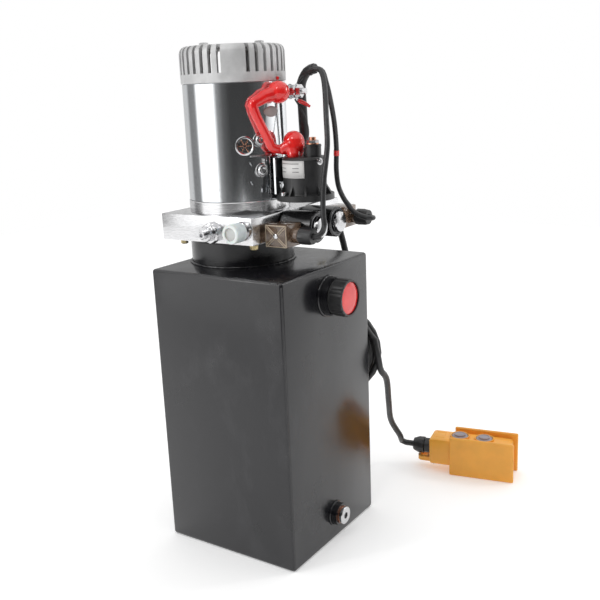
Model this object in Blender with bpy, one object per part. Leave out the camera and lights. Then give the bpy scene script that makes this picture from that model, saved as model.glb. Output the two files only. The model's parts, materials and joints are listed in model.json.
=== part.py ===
"""Hydraulic power unit: steel tank, manifold block, pump, motor, start relay, two valves, pendant.

Metres, +Z up. The origin is the centre of the tank's underside. +X is the filler side, -Y the
front. Lengths below are written in millimetres and turned into metres as each mesh is made.
"""

import math

import bmesh
import bpy
import numpy as np
from mathutils import Matrix, Vector

for old in list(bpy.data.objects):
    bpy.data.objects.remove(old)

MM = 0.001
GAP = 0.3  # clearance between neighbouring pieces

# Driving dimensions, in millimetres
TANK_W, TANK_D, TANK_H, WALL = 200.0, 200.0, 370.0, 2.0
AXIS_X, AXIS_Y = -32.0, 4.0  # axis of neck, pump and motor
NECK_R, NECK_H = 67.0, 33.0
BLOCK_HALF, BLOCK_BACK, BLOCK_H = 71.6, 126.0, 33.5
BLOCK_FRONT = 73.0
FLANGE_H, TUBE_R, TUBE_L, COVER_H = 15.0, 64.4, 142.3, 44.2
COIL_R, COIL_L = 19.4, 46.0
COIL_GAP = 2 * COIL_R + 6.2
RELAY_R, RELAY_H, RELAY_FLANGE_R = 26.6, 51.7, 35.5
GEAR_TEETH, GEAR_SPACING, GEAR_H = 12, 28.0, 20.0
FILLER_Z, DRAIN_Z = 333.0, 36.0
BUTTON_R, CASE_L = 12.5, 123.0
CABLE_R = 4.5

# Derived heights and faces
TOP = TANK_H
BLOCK_Z0 = TOP + NECK_H
BLOCK_Z1 = BLOCK_Z0 + BLOCK_H
FLANGE_Z0 = BLOCK_Z1 + GAP
FLANGE_Z1 = FLANGE_Z0 + FLANGE_H - GAP
TUBE_Z0 = FLANGE_Z1 + GAP
TUBE_Z1 = TUBE_Z0 + TUBE_L - GAP
COVER_Z0 = TUBE_Z1 + GAP
COVER_Z1 = COVER_Z0 + COVER_H
BLOCK_X0, BLOCK_X1 = AXIS_X - BLOCK_HALF, AXIS_X + BLOCK_HALF
BLOCK_Y0, BLOCK_Y1 = AXIS_Y - BLOCK_FRONT, AXIS_Y + BLOCK_BACK
SIDE = TANK_W / 2
FLANGE_R = TUBE_R + 0.7
STRAP = TUBE_R + 7.6  # radius of the red strap about the motor
UP = (0, 0, 1)
RIGHT = (1, 0, 0)
FRONT = (0, -1, 0)

LOOKS = {
    "powder_black": ((0.012, 0.012, 0.013), 0.0, 0.25),
    "black_plastic": ((0.02, 0.02, 0.02), 0.0, 0.4),
    "aluminium": ((0.6, 0.6, 0.61), 1.0, 0.35),
    "cast_cover": ((0.42, 0.42, 0.42), 0.6, 0.5),
    "bright_steel": ((0.62, 0.62, 0.63), 1.0, 0.12),
    "steel": ((0.45, 0.45, 0.46), 1.0, 0.35),
    "copper": ((0.72, 0.36, 0.22), 1.0, 0.3),
    "rubber": ((0.03, 0.03, 0.03), 0.0, 0.6),
    "cable_jacket": ((0.025, 0.025, 0.026), 0.0, 0.5),
    "red_vinyl": ((0.7, 0.02, 0.02), 0.0, 0.2),
    "smoke_plastic": ((0.13, 0.075, 0.04), 0.0, 0.15),
    "white_plastic": ((0.75, 0.75, 0.73), 0.0, 0.35),
    "yellow_plastic": ((0.85, 0.45, 0.07), 0.0, 0.4),
    "grey_rubber": ((0.32, 0.3, 0.33), 0.0, 0.5),
}


def look(name):
    """A Principled material of that name, made once."""
    mat = bpy.data.materials.get(name)
    if mat is None:
        colour, metal, rough = LOOKS[name]
        mat = bpy.data.materials.new(name)
        mat.use_nodes = True
        shader = mat.node_tree.nodes["Principled BSDF"]
        shader.inputs["Base Color"].default_value = (*colour, 1)
        shader.inputs["Metallic"].default_value = metal
        shader.inputs["Roughness"].default_value = rough
        mat.diffuse_color = (*colour, 1)
    return mat


def frame(axis, at=(0, 0, 0), spin=0.0):
    """Matrix that takes +Z to axis and the origin to at; spin turns about the axis, in degrees."""
    z = Vector(axis).normalized()
    x = Vector((0, 0, 1)).cross(z) if abs(z.z) < 0.9 else Vector((1, 0, 0))
    x = (x - z * x.dot(z)).normalized()
    y = z.cross(x)
    turn = Matrix((x, y, z)).transposed().to_4x4() @ Matrix.Rotation(math.radians(spin), 4, "Z")
    return Matrix.Translation(Vector(at)) @ turn


def finish(name, points, faces, material, smooth=35):
    """Makes the object: points in millimetres, faces turned to face out, one material."""
    mesh = bpy.data.meshes.new(name)
    mesh.from_pydata([tuple(MM * c for c in p) for p in points], [], faces)
    bm = bmesh.new()
    bm.from_mesh(mesh)
    bmesh.ops.remove_doubles(bm, verts=bm.verts, dist=1e-7)
    bmesh.ops.recalc_face_normals(bm, faces=bm.faces)
    bm.to_mesh(mesh)
    bm.free()
    obj = bpy.data.objects.new(name, mesh)
    bpy.context.scene.collection.objects.link(obj)
    if material is None:
        obj.hide_render = True
        obj.display_type = "WIRE"
    else:
        mesh.materials.append(look(material))
        mesh.shade_smooth()
        mesh.set_sharp_from_angle(angle=math.radians(smooth))
    return obj


def turned(name, profile, material, n=32, axis=UP, at=(0, 0, 0), spin=0.0, smooth=35):
    """A turned piece. profile is a list of (radius, height); a radius may be a function of angle.
    It either closes on itself as a ring or starts and ends on the axis."""
    matrix = frame(axis, at, spin)
    points, rings = [], []
    for radius, height in profile:
        if radius == 0:
            rings.append([len(points)])
            points.append(matrix @ Vector((0, 0, height)))
            continue
        ring = []
        for i in range(n):
            a = 2 * math.pi * i / n
            r = radius(a) if callable(radius) else radius
            ring.append(len(points))
            points.append(matrix @ Vector((r * math.cos(a), r * math.sin(a), height)))
        rings.append(ring)
    faces = []
    closed = len(rings[0]) > 1
    for k in range(len(rings) - (0 if closed else 1)):
        lo, hi = rings[k], rings[(k + 1) % len(rings)]
        for i in range(n):
            j = (i + 1) % n
            if len(lo) == 1:
                faces.append((lo[0], hi[i], hi[j]))
            elif len(hi) == 1:
                faces.append((lo[i], hi[0], lo[j]))
            else:
                faces.append((lo[i], lo[j], hi[j], hi[i]))
    return finish(name, points, faces, material, smooth)


def rod(name, r, z0, z1, material, **more):
    """A plain cylinder."""
    return turned(name, [(0, z0), (r, z0), (r, z1), (0, z1)], material, **more)


def ring(name, r_in, r_out, z0, z1, material, **more):
    """A plain tube."""
    profile = [(r_in, z0), (r_out, z0), (r_out, z1), (r_in, z1)]
    return turned(name, profile, material, **more)


def hexagon(across_flats, most=None):
    """Radius of a hexagon by angle, cut back to most where that is smaller."""

    def radius(a):
        local = (a + math.pi / 6) % (math.pi / 3) - math.pi / 6
        r = across_flats / 2 / math.cos(local)
        return min(r, most) if most else r

    return radius


def ribbed(r, depth, ribs):
    """Radius of a rim with square ribs."""
    return lambda a: r - (depth if math.sin(ribs * a + 0.4) < 0 else 0)


def slab(name, outline, z0, z1, material, matrix=None, smooth=35):
    """A prism on an outline of (x, y)."""
    matrix = matrix or Matrix.Identity(4)
    n = len(outline)
    points = [matrix @ Vector((x, y, z0)) for x, y in outline]
    points += [matrix @ Vector((x, y, z1)) for x, y in outline]
    faces = [(i, (i + 1) % n, n + (i + 1) % n, n + i) for i in range(n)]
    faces += [tuple(range(n - 1, -1, -1)), tuple(range(n, 2 * n))]
    return finish(name, points, faces, material, smooth)


def rounded(x0, x1, y0, y1, r, steps=4):
    """Outline of a rectangle with rounded corners."""
    out = []
    for cx, cy, start in (
        (x1 - r, y1 - r, 0),
        (x0 + r, y1 - r, 90),
        (x0 + r, y0 + r, 180),
        (x1 - r, y0 + r, 270),
    ):
        for i in range(steps + 1):
            a = math.radians(start + 90 * i / steps)
            out.append((cx + r * math.cos(a), cy + r * math.sin(a)))
    return out


def box(name, lo, hi, material, bevel=0.0, steps=2, matrix=None):
    """A box from corner lo to corner hi with its edges rounded."""
    matrix = matrix or Matrix.Identity(4)
    outline = [(lo[0], lo[1]), (hi[0], lo[1]), (hi[0], hi[1]), (lo[0], hi[1])]
    obj = slab(name, outline, lo[2], hi[2], material, matrix)
    if bevel:
        mod = obj.modifiers.new("edges", "BEVEL")
        mod.width = bevel * MM
        mod.segments = steps
        mod.limit_method = "ANGLE"
    return obj


def change(obj, other, operation):
    mod = obj.modifiers.new(operation.lower(), "BOOLEAN")
    mod.object = other
    mod.operation = operation
    mod.solver = "EXACT"
    return obj


def cut(obj, *cutters):
    for cutter in cutters:
        change(obj, cutter, "DIFFERENCE")
    return obj


def join(obj, *others):
    for other in others:
        change(obj, other, "UNION")
    return obj


def bake(obj, smooth=35):
    """Applies the modifiers, so that later steps start from the finished solid."""
    graph = bpy.context.evaluated_depsgraph_get()
    mesh = bpy.data.meshes.new_from_object(obj.evaluated_get(graph))
    obj.modifiers.clear()
    obj.data = mesh
    mesh.shade_smooth()
    mesh.set_sharp_from_angle(angle=math.radians(smooth))
    return obj


def flow(points, step):
    """Points along a smooth curve through the given ones, about step apart."""
    p = [np.array(q, float) for q in points]
    p = [2 * p[0] - p[1]] + p + [2 * p[-1] - p[-2]]
    fine = []
    for i in range(1, len(p) - 2):
        for t in np.linspace(0, 1, 24, endpoint=False):
            a, b, c, d = p[i - 1 : i + 3]
            fine.append(
                0.5
                * (
                    2 * b
                    + (c - a) * t
                    + (2 * a - 5 * b + 4 * c - d) * t**2
                    + (3 * b - a - 3 * c + d) * t**3
                )
            )
    fine = np.array(fine + [p[-2]])
    run = np.concatenate([[0], np.cumsum(np.linalg.norm(np.diff(fine, axis=0), axis=1))])
    count = max(2, int(round(run[-1] / step)) + 1)
    at = np.linspace(0, run[-1], count)
    return np.stack([np.interp(at, run, fine[:, k]) for k in range(3)], axis=1)


def swept(name, path, radius, material, n=8, flat=1.0):
    """A tube on the path with closed ends. radius may be a list, one for each point."""
    path = np.asarray(path, float)
    count = len(path)
    radii = [radius] * count if np.isscalar(radius) else radius
    tangent = np.gradient(path, axis=0)
    tangent /= np.linalg.norm(tangent, axis=1)[:, None]
    side = np.cross(tangent[0], (0.31, 0.17, 0.93))
    side /= np.linalg.norm(side)
    points, faces = [], []
    for k in range(count):
        side = side - tangent[k] * (side @ tangent[k])
        side /= np.linalg.norm(side)
        other = np.cross(tangent[k], side)
        for i in range(n):
            a = 2 * math.pi * i / n
            offset = side * math.cos(a) + other * math.sin(a) * flat
            points.append(path[k] + radii[k] * offset)
    for k in range(count - 1):
        for i in range(n):
            j = (i + 1) % n
            a, b = k * n, (k + 1) * n
            faces.append((a + i, a + j, b + j, b + i))
    faces += [tuple(range(n - 1, -1, -1)), tuple(range((count - 1) * n, count * n))]
    return finish(name, points, faces, material, 50)


def polar(theta, r, z):
    """A point by its angle and radius about the motor axis."""
    a = math.radians(theta)
    return (AXIS_X + r * math.cos(a), AXIS_Y + r * math.sin(a), z)


def radial(theta):
    a = math.radians(theta)
    return (math.cos(a), math.sin(a), 0)


def tank():
    shell = box(
        "tank_shell", (-SIDE, -TANK_D / 2, 0), (SIDE, TANK_D / 2, TOP), "powder_black", 4.0, 3
    )
    inside = box(
        "c_inside",
        (-SIDE + WALL, -TANK_D / 2 + WALL, WALL),
        (SIDE - WALL, TANK_D / 2 - WALL, TOP - WALL),
        None,
        2.5,
        1,
    )
    axis = (AXIS_X, AXIS_Y, 0)
    top_hole = rod("c_top", NECK_R - 8, TOP - 8, TOP + 8, None, n=36, at=axis)
    side = dict(axis=RIGHT, n=24)
    fill_hole = rod("c_fill", 17.5, SIDE - 8, SIDE + 8, None, at=(0, 0, FILLER_Z), **side)
    drain_hole = rod("c_drain", 9, SIDE - 8, SIDE + 8, None, at=(0, 0, DRAIN_Z), **side)
    cut(shell, inside, top_hole, fill_hole, drain_hole)
    ring(
        "tank_neck", NECK_R - 6, NECK_R, TOP + GAP, BLOCK_Z0 - GAP, "powder_black", n=44, at=axis
    )

    x0 = SIDE + GAP
    fill = dict(axis=RIGHT, at=(0, 0, FILLER_Z))
    ring("filler_boss", 18.4, 24.5, x0, SIDE + 12, "powder_black", n=30, **fill)
    ring("filler_gasket", 18.4, 22.4, SIDE + 12 + GAP, SIDE + 14.3, "rubber", n=22, **fill)
    rim = ribbed(23.5, 0.9, 20)
    face = SIDE + 14.6
    profile = [
        (0, SIDE + 29.2),
        (20.6, SIDE + 29.2),
        (20.6, SIDE + 32),
        (22.6, SIDE + 32),
        (rim, SIDE + 31),
        (rim, face + 0.8),
        (22.6, face),
        (18.0, face),
        (18.0, SIDE + 3),
        (0, SIDE + 3),
    ]
    turned("filler_cap", profile, "black_plastic", n=60, **fill)

    drain = dict(axis=RIGHT, at=(0, 0, DRAIN_Z))
    ring("drain_boss", 8.4, 15, x0, SIDE + 10, "powder_black", n=22, **drain)
    ring("drain_washer", 8.4, 11.6, SIDE + 10 + GAP, SIDE + 11.6, "copper", n=20, **drain)
    key = hexagon(8)
    profile = [
        (0, SIDE - 2),
        (7.2, SIDE - 2),
        (8, SIDE - 1),
        (8, SIDE + 11.9),
        (10.8, SIDE + 11.9),
        (11.5, SIDE + 12.6),
        (11.5, SIDE + 15.4),
        (10.9, SIDE + 16),
        (key, SIDE + 16),
        (key, SIDE + 8),
        (0, SIDE + 8),
    ]
    turned("drain_plug", profile, "bright_steel", n=24, **drain)


VALVE_Z = BLOCK_Z0 + 15.0
VALVE_Y = (AXIS_Y - 2.0, AXIS_Y - 2.0 + COIL_GAP)
RELIEF_X, RELIEF_Z = AXIS_X + 14.0, BLOCK_Z0 + 14.0
PORT_X, PORT_Z = BLOCK_X1 - 12.6, BLOCK_Z0 + 18.0
RELAY_X, RELAY_Y = AXIS_X + TUBE_R + RELAY_FLANGE_R + 1.3, AXIS_Y + 0.4
RELAY_Z = TUBE_Z0
TOWER = 14.5  # height of the two stud towers above the relay's case


def block():
    body = box(
        "manifold_block",
        (BLOCK_X0, BLOCK_Y0, BLOCK_Z0),
        (BLOCK_X1, BLOCK_Y1, BLOCK_Z1),
        "aluminium",
        1.0,
        2,
    )
    cutters = [rod("c_bore", 16, BLOCK_Z0 - 5, BLOCK_Z1 + 5, None, n=24, at=(AXIS_X, AXIS_Y, 0))]
    for i, y in enumerate(VALVE_Y):
        at = (BLOCK_X1, y, VALVE_Z)
        cutters.append(rod(f"c_valve{i}", 8.3, -40, 5, None, n=18, axis=RIGHT, at=at))
    at = (RELIEF_X, BLOCK_Y0, RELIEF_Z)
    cutters.append(rod("c_relief", 8.3, -24, 5, None, n=18, axis=FRONT, at=at))
    at = (PORT_X, BLOCK_Y0, PORT_Z)
    cutters.append(rod("c_port", 8.3, -20, 5, None, n=18, axis=FRONT, at=at))
    cut(body, *cutters)

    valve = dict(axis=FRONT, at=(RELIEF_X, BLOCK_Y0, RELIEF_Z))
    flats = hexagon(24.2, 13.4)
    profile = [
        (5.3, -19),
        (2.4, -19),
        (2.4, -22.5),
        (7, -22.5),
        (8, -21.5),
        (8, GAP),
        (flats, GAP),
        (flats, 10),
        (11.6, 11),
        (8.5, 11),
        (8.5, 13),
        (5.3, 13),
    ]
    turned("relief_valve_body", profile, "bright_steel", n=24, **valve)
    flats = hexagon(17, 9.5)
    profile = [(5.3, 13.3), (8.6, 13.3), (flats, 14), (flats, 19.4), (8.6, 20.2), (5.3, 20.2)]
    turned("relief_locknut", profile, "bright_steel", n=24, **valve)
    key = hexagon(5)
    profile = [
        (0, -9.5),
        (5, -9.5),
        (5, 25.2),
        (4.4, 26),
        (key, 26),
        (key, 21),
        (0, 21),
    ]
    turned("relief_adjuster", profile, "bright_steel", n=24, **valve)
    profile = [(0, -18), (1.8, -18), (5, -14.5), (5, -9.8), (0, -9.8)]
    turned("relief_seat", profile, "steel", n=24, **valve)

    port = dict(axis=FRONT, at=(PORT_X, BLOCK_Y0, PORT_Z))
    profile = [
        (5, -19),
        (8, -19),
        (8, GAP),
        (12, GAP),
        (12, 5),
        (10.2, 5),
        (10.2, 20),
        (9.4, 21),
        (5, 21),
    ]
    turned("port_adaptor", profile, "bright_steel", n=24, **port)
    profile = [
        (0, 21.4),
        (8.6, 21.4),
        (10.5, 21.4),
        (10.5, 9),
        (11.8, 9),
        (11.8, 26.6),
        (11.2, 27.4),
        (8, 27.4),
        (8, 24.4),
        (0, 24.4),
    ]
    turned("port_cap", profile, "white_plastic", n=24, **port)


def gear(angle_shift):
    """Radius of a gear's outline by angle: straight-sided teeth, thin enough for free backlash."""
    tip, root = GEAR_SPACING / 2 + 1.6, GEAR_SPACING / 2 - 2.1
    pitch = 2 * math.pi / GEAR_TEETH

    def radius(a):
        t = abs((a + angle_shift + pitch / 2) % pitch - pitch / 2) / pitch
        if t < 0.11:
            return tip
        return root if t > 0.27 else tip + (root - tip) * (t - 0.11) / 0.16

    return radius


PUMP_Z1 = BLOCK_Z0 - GAP
PUMP_Z0 = PUMP_Z1 - 46
GEAR_Z = PUMP_Z0 + GAP
GEAR_Y = AXIS_Y + GEAR_SPACING


def pump():
    body = slab(
        "pump_body",
        rounded(AXIS_X - 27, AXIS_X + 27, AXIS_Y - 27, GEAR_Y + 24, 12, 3),
        PUMP_Z0,
        PUMP_Z1,
        "aluminium",
    )
    on_drive, on_driven = (AXIS_X, AXIS_Y, 0), (AXIS_X, GEAR_Y, 0)
    pocket = GEAR_SPACING / 2 + 2.0
    deep = GEAR_Z + GEAR_H + GAP
    cut(
        body,
        rod("c_pocket0", pocket, PUMP_Z0 - 5, deep, None, n=24, at=on_drive),
        rod("c_pocket1", pocket, PUMP_Z0 - 5, deep, None, n=24, at=on_driven, spin=5.6),
        rod("c_shaft", 8.4, deep - 1, PUMP_Z1 + 5, None, n=18, at=on_drive),
        rod("c_journal", 6.4, deep - 1, deep + 12, None, n=16, at=on_driven),
    )
    cover = slab(
        "pump_cover",
        rounded(AXIS_X - 27, AXIS_X + 27, AXIS_Y - 27, GEAR_Y + 24, 12, 3),
        PUMP_Z0 - GAP - 12,
        PUMP_Z0 - GAP,
        "aluminium",
    )
    lo, hi = PUMP_Z0 - 10, PUMP_Z0 + 5
    inlet_y = AXIS_Y + GEAR_SPACING / 2
    inlet = (AXIS_X + 14, inlet_y, 0)
    cut(
        cover,
        rod("c_journal0", 6.4, lo, hi, None, n=16, at=on_drive),
        rod("c_journal1", 6.4, lo, hi, None, n=16, at=on_driven),
        rod("c_inlet", 4.5, PUMP_Z0 - 20, hi, None, n=12, at=inlet),
    )
    teeth = gear(0.0)
    z0, z1 = GEAR_Z, GEAR_Z + GEAR_H
    shaft_top = BLOCK_Z0 + 13
    profile = [
        (0, lo + 1),
        (6, lo + 1),
        (6, z0),
        (teeth, z0),
        (teeth, z1),
        (8, z1),
        (8, shaft_top),
        (0, shaft_top),
    ]
    n = GEAR_TEETH * 6
    turned("drive_gear", profile, "steel", n=n, at=on_drive)
    half = math.pi / GEAR_TEETH
    teeth = gear(half)
    profile = [
        (0, lo + 1),
        (6, lo + 1),
        (6, z0),
        (teeth, z0),
        (teeth, z1),
        (6, z1),
        (6, z1 + 10),
        (0, z1 + 10),
    ]
    turned("driven_gear", profile, "steel", n=n, at=on_driven)
    z = BLOCK_Z0
    ring("shaft_coupling", 8.3, 13.5, z + 3, z + 27, "steel", n=20, at=on_drive)
    tube_top = PUMP_Z0 - GAP - 12 - GAP
    # The tube and its strainer are one piece: a cup closed below, open to the pump above.
    profile = [
        (0, 30),
        (20, 30),
        (22, 32),
        (22, 78),
        (20, 80),
        (8, 80),
        (8, tube_top),
        (6, tube_top),
        (6, 77),
        (18.5, 77),
        (18.5, 33),
        (0, 33),
    ]
    turned("suction_strainer", profile, "steel", n=18, at=inlet)


def motor():
    axis = (AXIS_X, AXIS_Y, 0)
    z0, z1 = FLANGE_Z0, FLANGE_Z1
    profile = [
        (8.4, z0),
        (FLANGE_R, z0),
        (FLANGE_R, z1 - 0.8),
        (FLANGE_R - 0.8, z1),
        (8.4, z1),
    ]
    turned("motor_flange", profile, "aluminium", n=44, at=axis)
    tube = ring("motor_tube", TUBE_R - 4, TUBE_R, TUBE_Z0, TUBE_Z1, "bright_steel", n=52, at=axis)
    holes = [
        rod(f"c_term{i}", 5, TUBE_R - 10, TUBE_R + 10, None, n=20, axis=radial(t), at=at)
        for i, (t, at) in enumerate(TERMINALS)
    ]
    cut(tube, *holes)

    r = TUBE_R + 1.3
    z0, z1 = COVER_Z0, COVER_Z1
    profile = [
        (r - 5, z0),
        (r - 0.3, z0),
        (r, z0 + 0.6),
        (r, z1 - 8),
        (r - 1.1, z1 - 4.2),
        (r - 3.4, z1 - 1.5),
        (r - 6.5, z1),
        (0, z1),
        (0, z1 - 4),
        (r - 8, z1 - 4),
        (r - 5, z1 - 8),
    ]
    outer, inner = profile[:8], profile[8:]
    cover = turned(
        "motor_end_cover", [outer[7]] + outer[6::-1] + inner[::-1], "cast_cover", n=54, at=axis
    )
    slots = []
    middle = z1 - 19
    for k, theta in enumerate(slot_angles()):
        matrix = frame(UP, axis, theta)
        lo, hi = (r - 8.5, -2.4, middle - 14), (r + 3, 2.4, z1 + 3)
        slots.append(box(f"c_slot{k}", lo, hi, None, matrix=matrix))
    cut(cover, merged("c_slots", slots))
    hub = ring("c_hub", 8.4, 13, z1 - 14, z1 - 3.5, None, n=32, at=axis)
    disc = rod("c_disc", 25, z1 - 2, z1 + 1.6, None, n=36, at=axis)
    heads = []
    for k, (dx, dy) in enumerate(((-28, -20), (28, 20))):
        at = (AXIS_X + dx, AXIS_Y + dy, 0)
        flats = hexagon(10)
        profile = [(0, z1 - 2), (7, z1 - 2), (7, z1 + 0.9), (flats, z1 + 0.9)]
        profile += [(flats, z1 + 4.4), (4, z1 + 5), (0, z1 + 5)]
        heads.append(turned(f"c_head{k}", profile, None, n=24, at=at))
    join(cover, hub, disc, *heads)
    bake(cover, 40)

    shaft_z0 = BLOCK_Z0 + 13 + GAP
    rod("motor_shaft", 8, shaft_z0, z1 - 6, "steel", n=24, at=axis)
    low = TUBE_Z0
    ring("armature_core", 8.3, TUBE_R - 26.4, low + 20, low + 106, "steel", n=22, at=axis)
    ring("commutator", 8.3, 22, low + 114, low + 136, "copper", n=18, at=axis)
    ring("field_frame", TUBE_R - 23.4, TUBE_R - 4 - GAP * 2, low + 10, low + 112, "steel", n=24, at=axis)
    ring("brush_ring", 24, TUBE_R - 20.4, low + 118, low + 132, "black_plastic", n=18, at=axis)


def slot_angles():
    """Vent slots all round the end cover but for the plain sector at its front right."""
    first, last, count = -36.2, 293.4, 34
    return [first + (last - first) / (count - 1) * k for k in range(count)]


def merged(name, boxes):
    """One hidden cutter made of several separate closed ones."""
    points, faces = [], []
    for obj in boxes:
        base = len(points)
        points += [tuple(v.co / MM) for v in obj.data.vertices]
        faces += [tuple(base + i for i in f.vertices) for f in obj.data.polygons]
        bpy.data.objects.remove(obj)
    return finish(name, points, faces, None)


TERM_Z = TUBE_Z1 - 13.5
TERMINALS = [
    (-7.0, (AXIS_X, AXIS_Y, TERM_Z)),
    (-7.0 + math.degrees(21.36 / TUBE_R), (AXIS_X, AXIS_Y, TERM_Z)),
]


def terminals():
    r = TUBE_R
    theta, at = TERMINALS[1]
    nut, washer = hexagon(14), 9.2
    profile = [
        (0, r - 12),
        (4, r - 12),
        (4, r + 10.5),
        (washer, r + 10.5),
        (washer, r + 12.3),
        (nut, r + 12.3),
        (nut, r + 19),
        (washer, r + 19),
        (washer, r + 20.8),
        (nut, r + 20.8),
        (nut, r + 27),
        (4, r + 27),
        (4, r + 32.6),
        (0, r + 32.6),
    ]
    turned("terminal_ground", profile, "bright_steel", n=12, axis=radial(theta), at=at)


def bracket():
    """Strap round the tube with two tabs, and a flat plate that stands beside the relay."""
    r0, r1 = TUBE_R + GAP, TUBE_R + 1.9
    z0 = TUBE_Z0 + 19.9

    def arc(name, t0, t1, lo, hi, round_end):
        a = [t0 + (t1 - t0) * i / 8 for i in range(9)]
        points = []
        for t in a:
            trim = 3.0 if round_end and t == t0 else 0.0
            for r in (r0, r1):
                points += [polar(t, r, lo + trim), polar(t, r, hi - trim)]
        faces = []
        for k in range(8):
            b, c = 4 * k, 4 * (k + 1)
            faces += [
                (b, b + 1, c + 1, c),
                (b + 2, c + 2, c + 3, b + 3),
                (b, c, c + 2, b + 2),
                (b + 1, b + 3, c + 3, c + 1),
            ]
        faces += [(0, 2, 3, 1), (32, 33, 35, 34)]
        return finish(name, points, faces, "bright_steel" if name[0] != "c" else None)

    strap = arc("relay_bracket", -27, 22, z0 - 3, z0 + 34, False)
    low = arc("c_tab_low", -39.5, -26.2, z0, z0 + 10.6, True)
    high = arc("c_tab_high", -39.5, -26.2, z0 + 23.1, z0 + 33.6, True)
    r = RELAY_X - AXIS_X - RELAY_R - GAP
    axis = (AXIS_X, RELAY_Y, 0)
    lo, hi = (r - 2.4, -24, z0 + 2), (r, 11, z0 + 31.5)
    plate = box("c_plate", lo, hi, None, matrix=frame(UP, axis, 0))
    lo, hi = (r - 2.4, -24, z0 - 12.2), (r, -17, z0 + 4)
    leg = box("c_leg", lo, hi, None, matrix=frame(UP, axis, 0))
    lo, hi = (TUBE_R + 0.8, -5, z0), (r - 1, 5, z0 + 30)
    web = box("c_web", lo, hi, None, matrix=frame(UP, axis, 0))
    join(strap, low, high, plate, leg, web)
    bake(strap)


def relay():
    at = (RELAY_X, RELAY_Y, 0)
    z0 = RELAY_Z
    z1 = z0 + RELAY_H
    top = z1 + TOWER
    r = RELAY_R
    profile = [
        (r - 4, z0),
        (RELAY_FLANGE_R, z0),
        (RELAY_FLANGE_R, z0 + 7),
        (r + 0.8, z0 + 7),
        (r, z0 + 9),
        (r, z1 - 1.5),
        (r - 1.5, z1),
        (0, z1),
        (0, z1 - 6),
        (r - 4, z1 - 6),
    ]
    outer, inner = profile[:8], profile[8:]
    case = turned(
        "relay_housing",
        [outer[7]] + outer[6::-1] + inner[::-1],
        "black_plastic",
        n=34,
        at=at,
    )
    ribs = []
    for k in range(10):
        matrix = frame(UP, at, 15 + 36 * k)
        points = [(r - 1.5, z0 + 6), (RELAY_FLANGE_R - 1.5, z0 + 6), (r - 1.5, z0 + 21)]
        ribs.append(wedge(f"c_rib{k}", points, 1.2, matrix))
    towers = [
        rod(f"c_tower{i}", 10.0, z1 - 3, top, None, n=24, at=(x, y, 0))
        for i, (x, y) in enumerate(STUDS)
    ]
    join(case, merged("c_ribs", ribs), *towers)
    bake(case)
    holes = [
        rod(f"c_stud{i}", 4.3, z1 - 15, top + 15, None, n=14, at=(x, y, 0))
        for i, (x, y) in enumerate(STUDS)
    ]
    cut(case, *holes)
    bake(case)
    for i, name in enumerate(("relay_stud_left", "relay_stud_right")):
        x, y = STUDS[i]
        nut = hexagon(12)
        head = z1 - 6 - GAP
        profile = [
            (0, head - 3),
            (6, head - 3),
            (6, head),
            (4, head),
            (4, top + GAP),
            (7.4, top + GAP),
            (7.4, top + 1.6),
            (nut, top + 1.6),
            (nut, top + 5),
            (4, top + 5),
            (4, top + (7.5 if i == 0 else 8.5)),
            (0, top + (7.5 if i == 0 else 8.5)),
        ]
        turned(name, profile, "copper", n=12, at=(x, y, 0))
    profile = [(0, z0 + 5), (8, z0 + 5), (8, z0 + 33), (0, z0 + 33)]
    turned("relay_plunger", profile, "steel", n=24, at=at)


STUDS = [(RELAY_X - 14.5, RELAY_Y), (RELAY_X + 13.0, RELAY_Y)]


def wedge(name, points, half, matrix):
    """A triangular rib standing in the frame's XZ plane."""
    both = [matrix @ Vector((x, s * half, z)) for s in (-1, 1) for x, z in points]
    faces = [(0, 1, 2), (5, 4, 3), (0, 3, 4, 1), (1, 4, 5, 2), (2, 5, 3, 0)]
    return finish(name, both, faces, None)


GLANDS = {}


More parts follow.
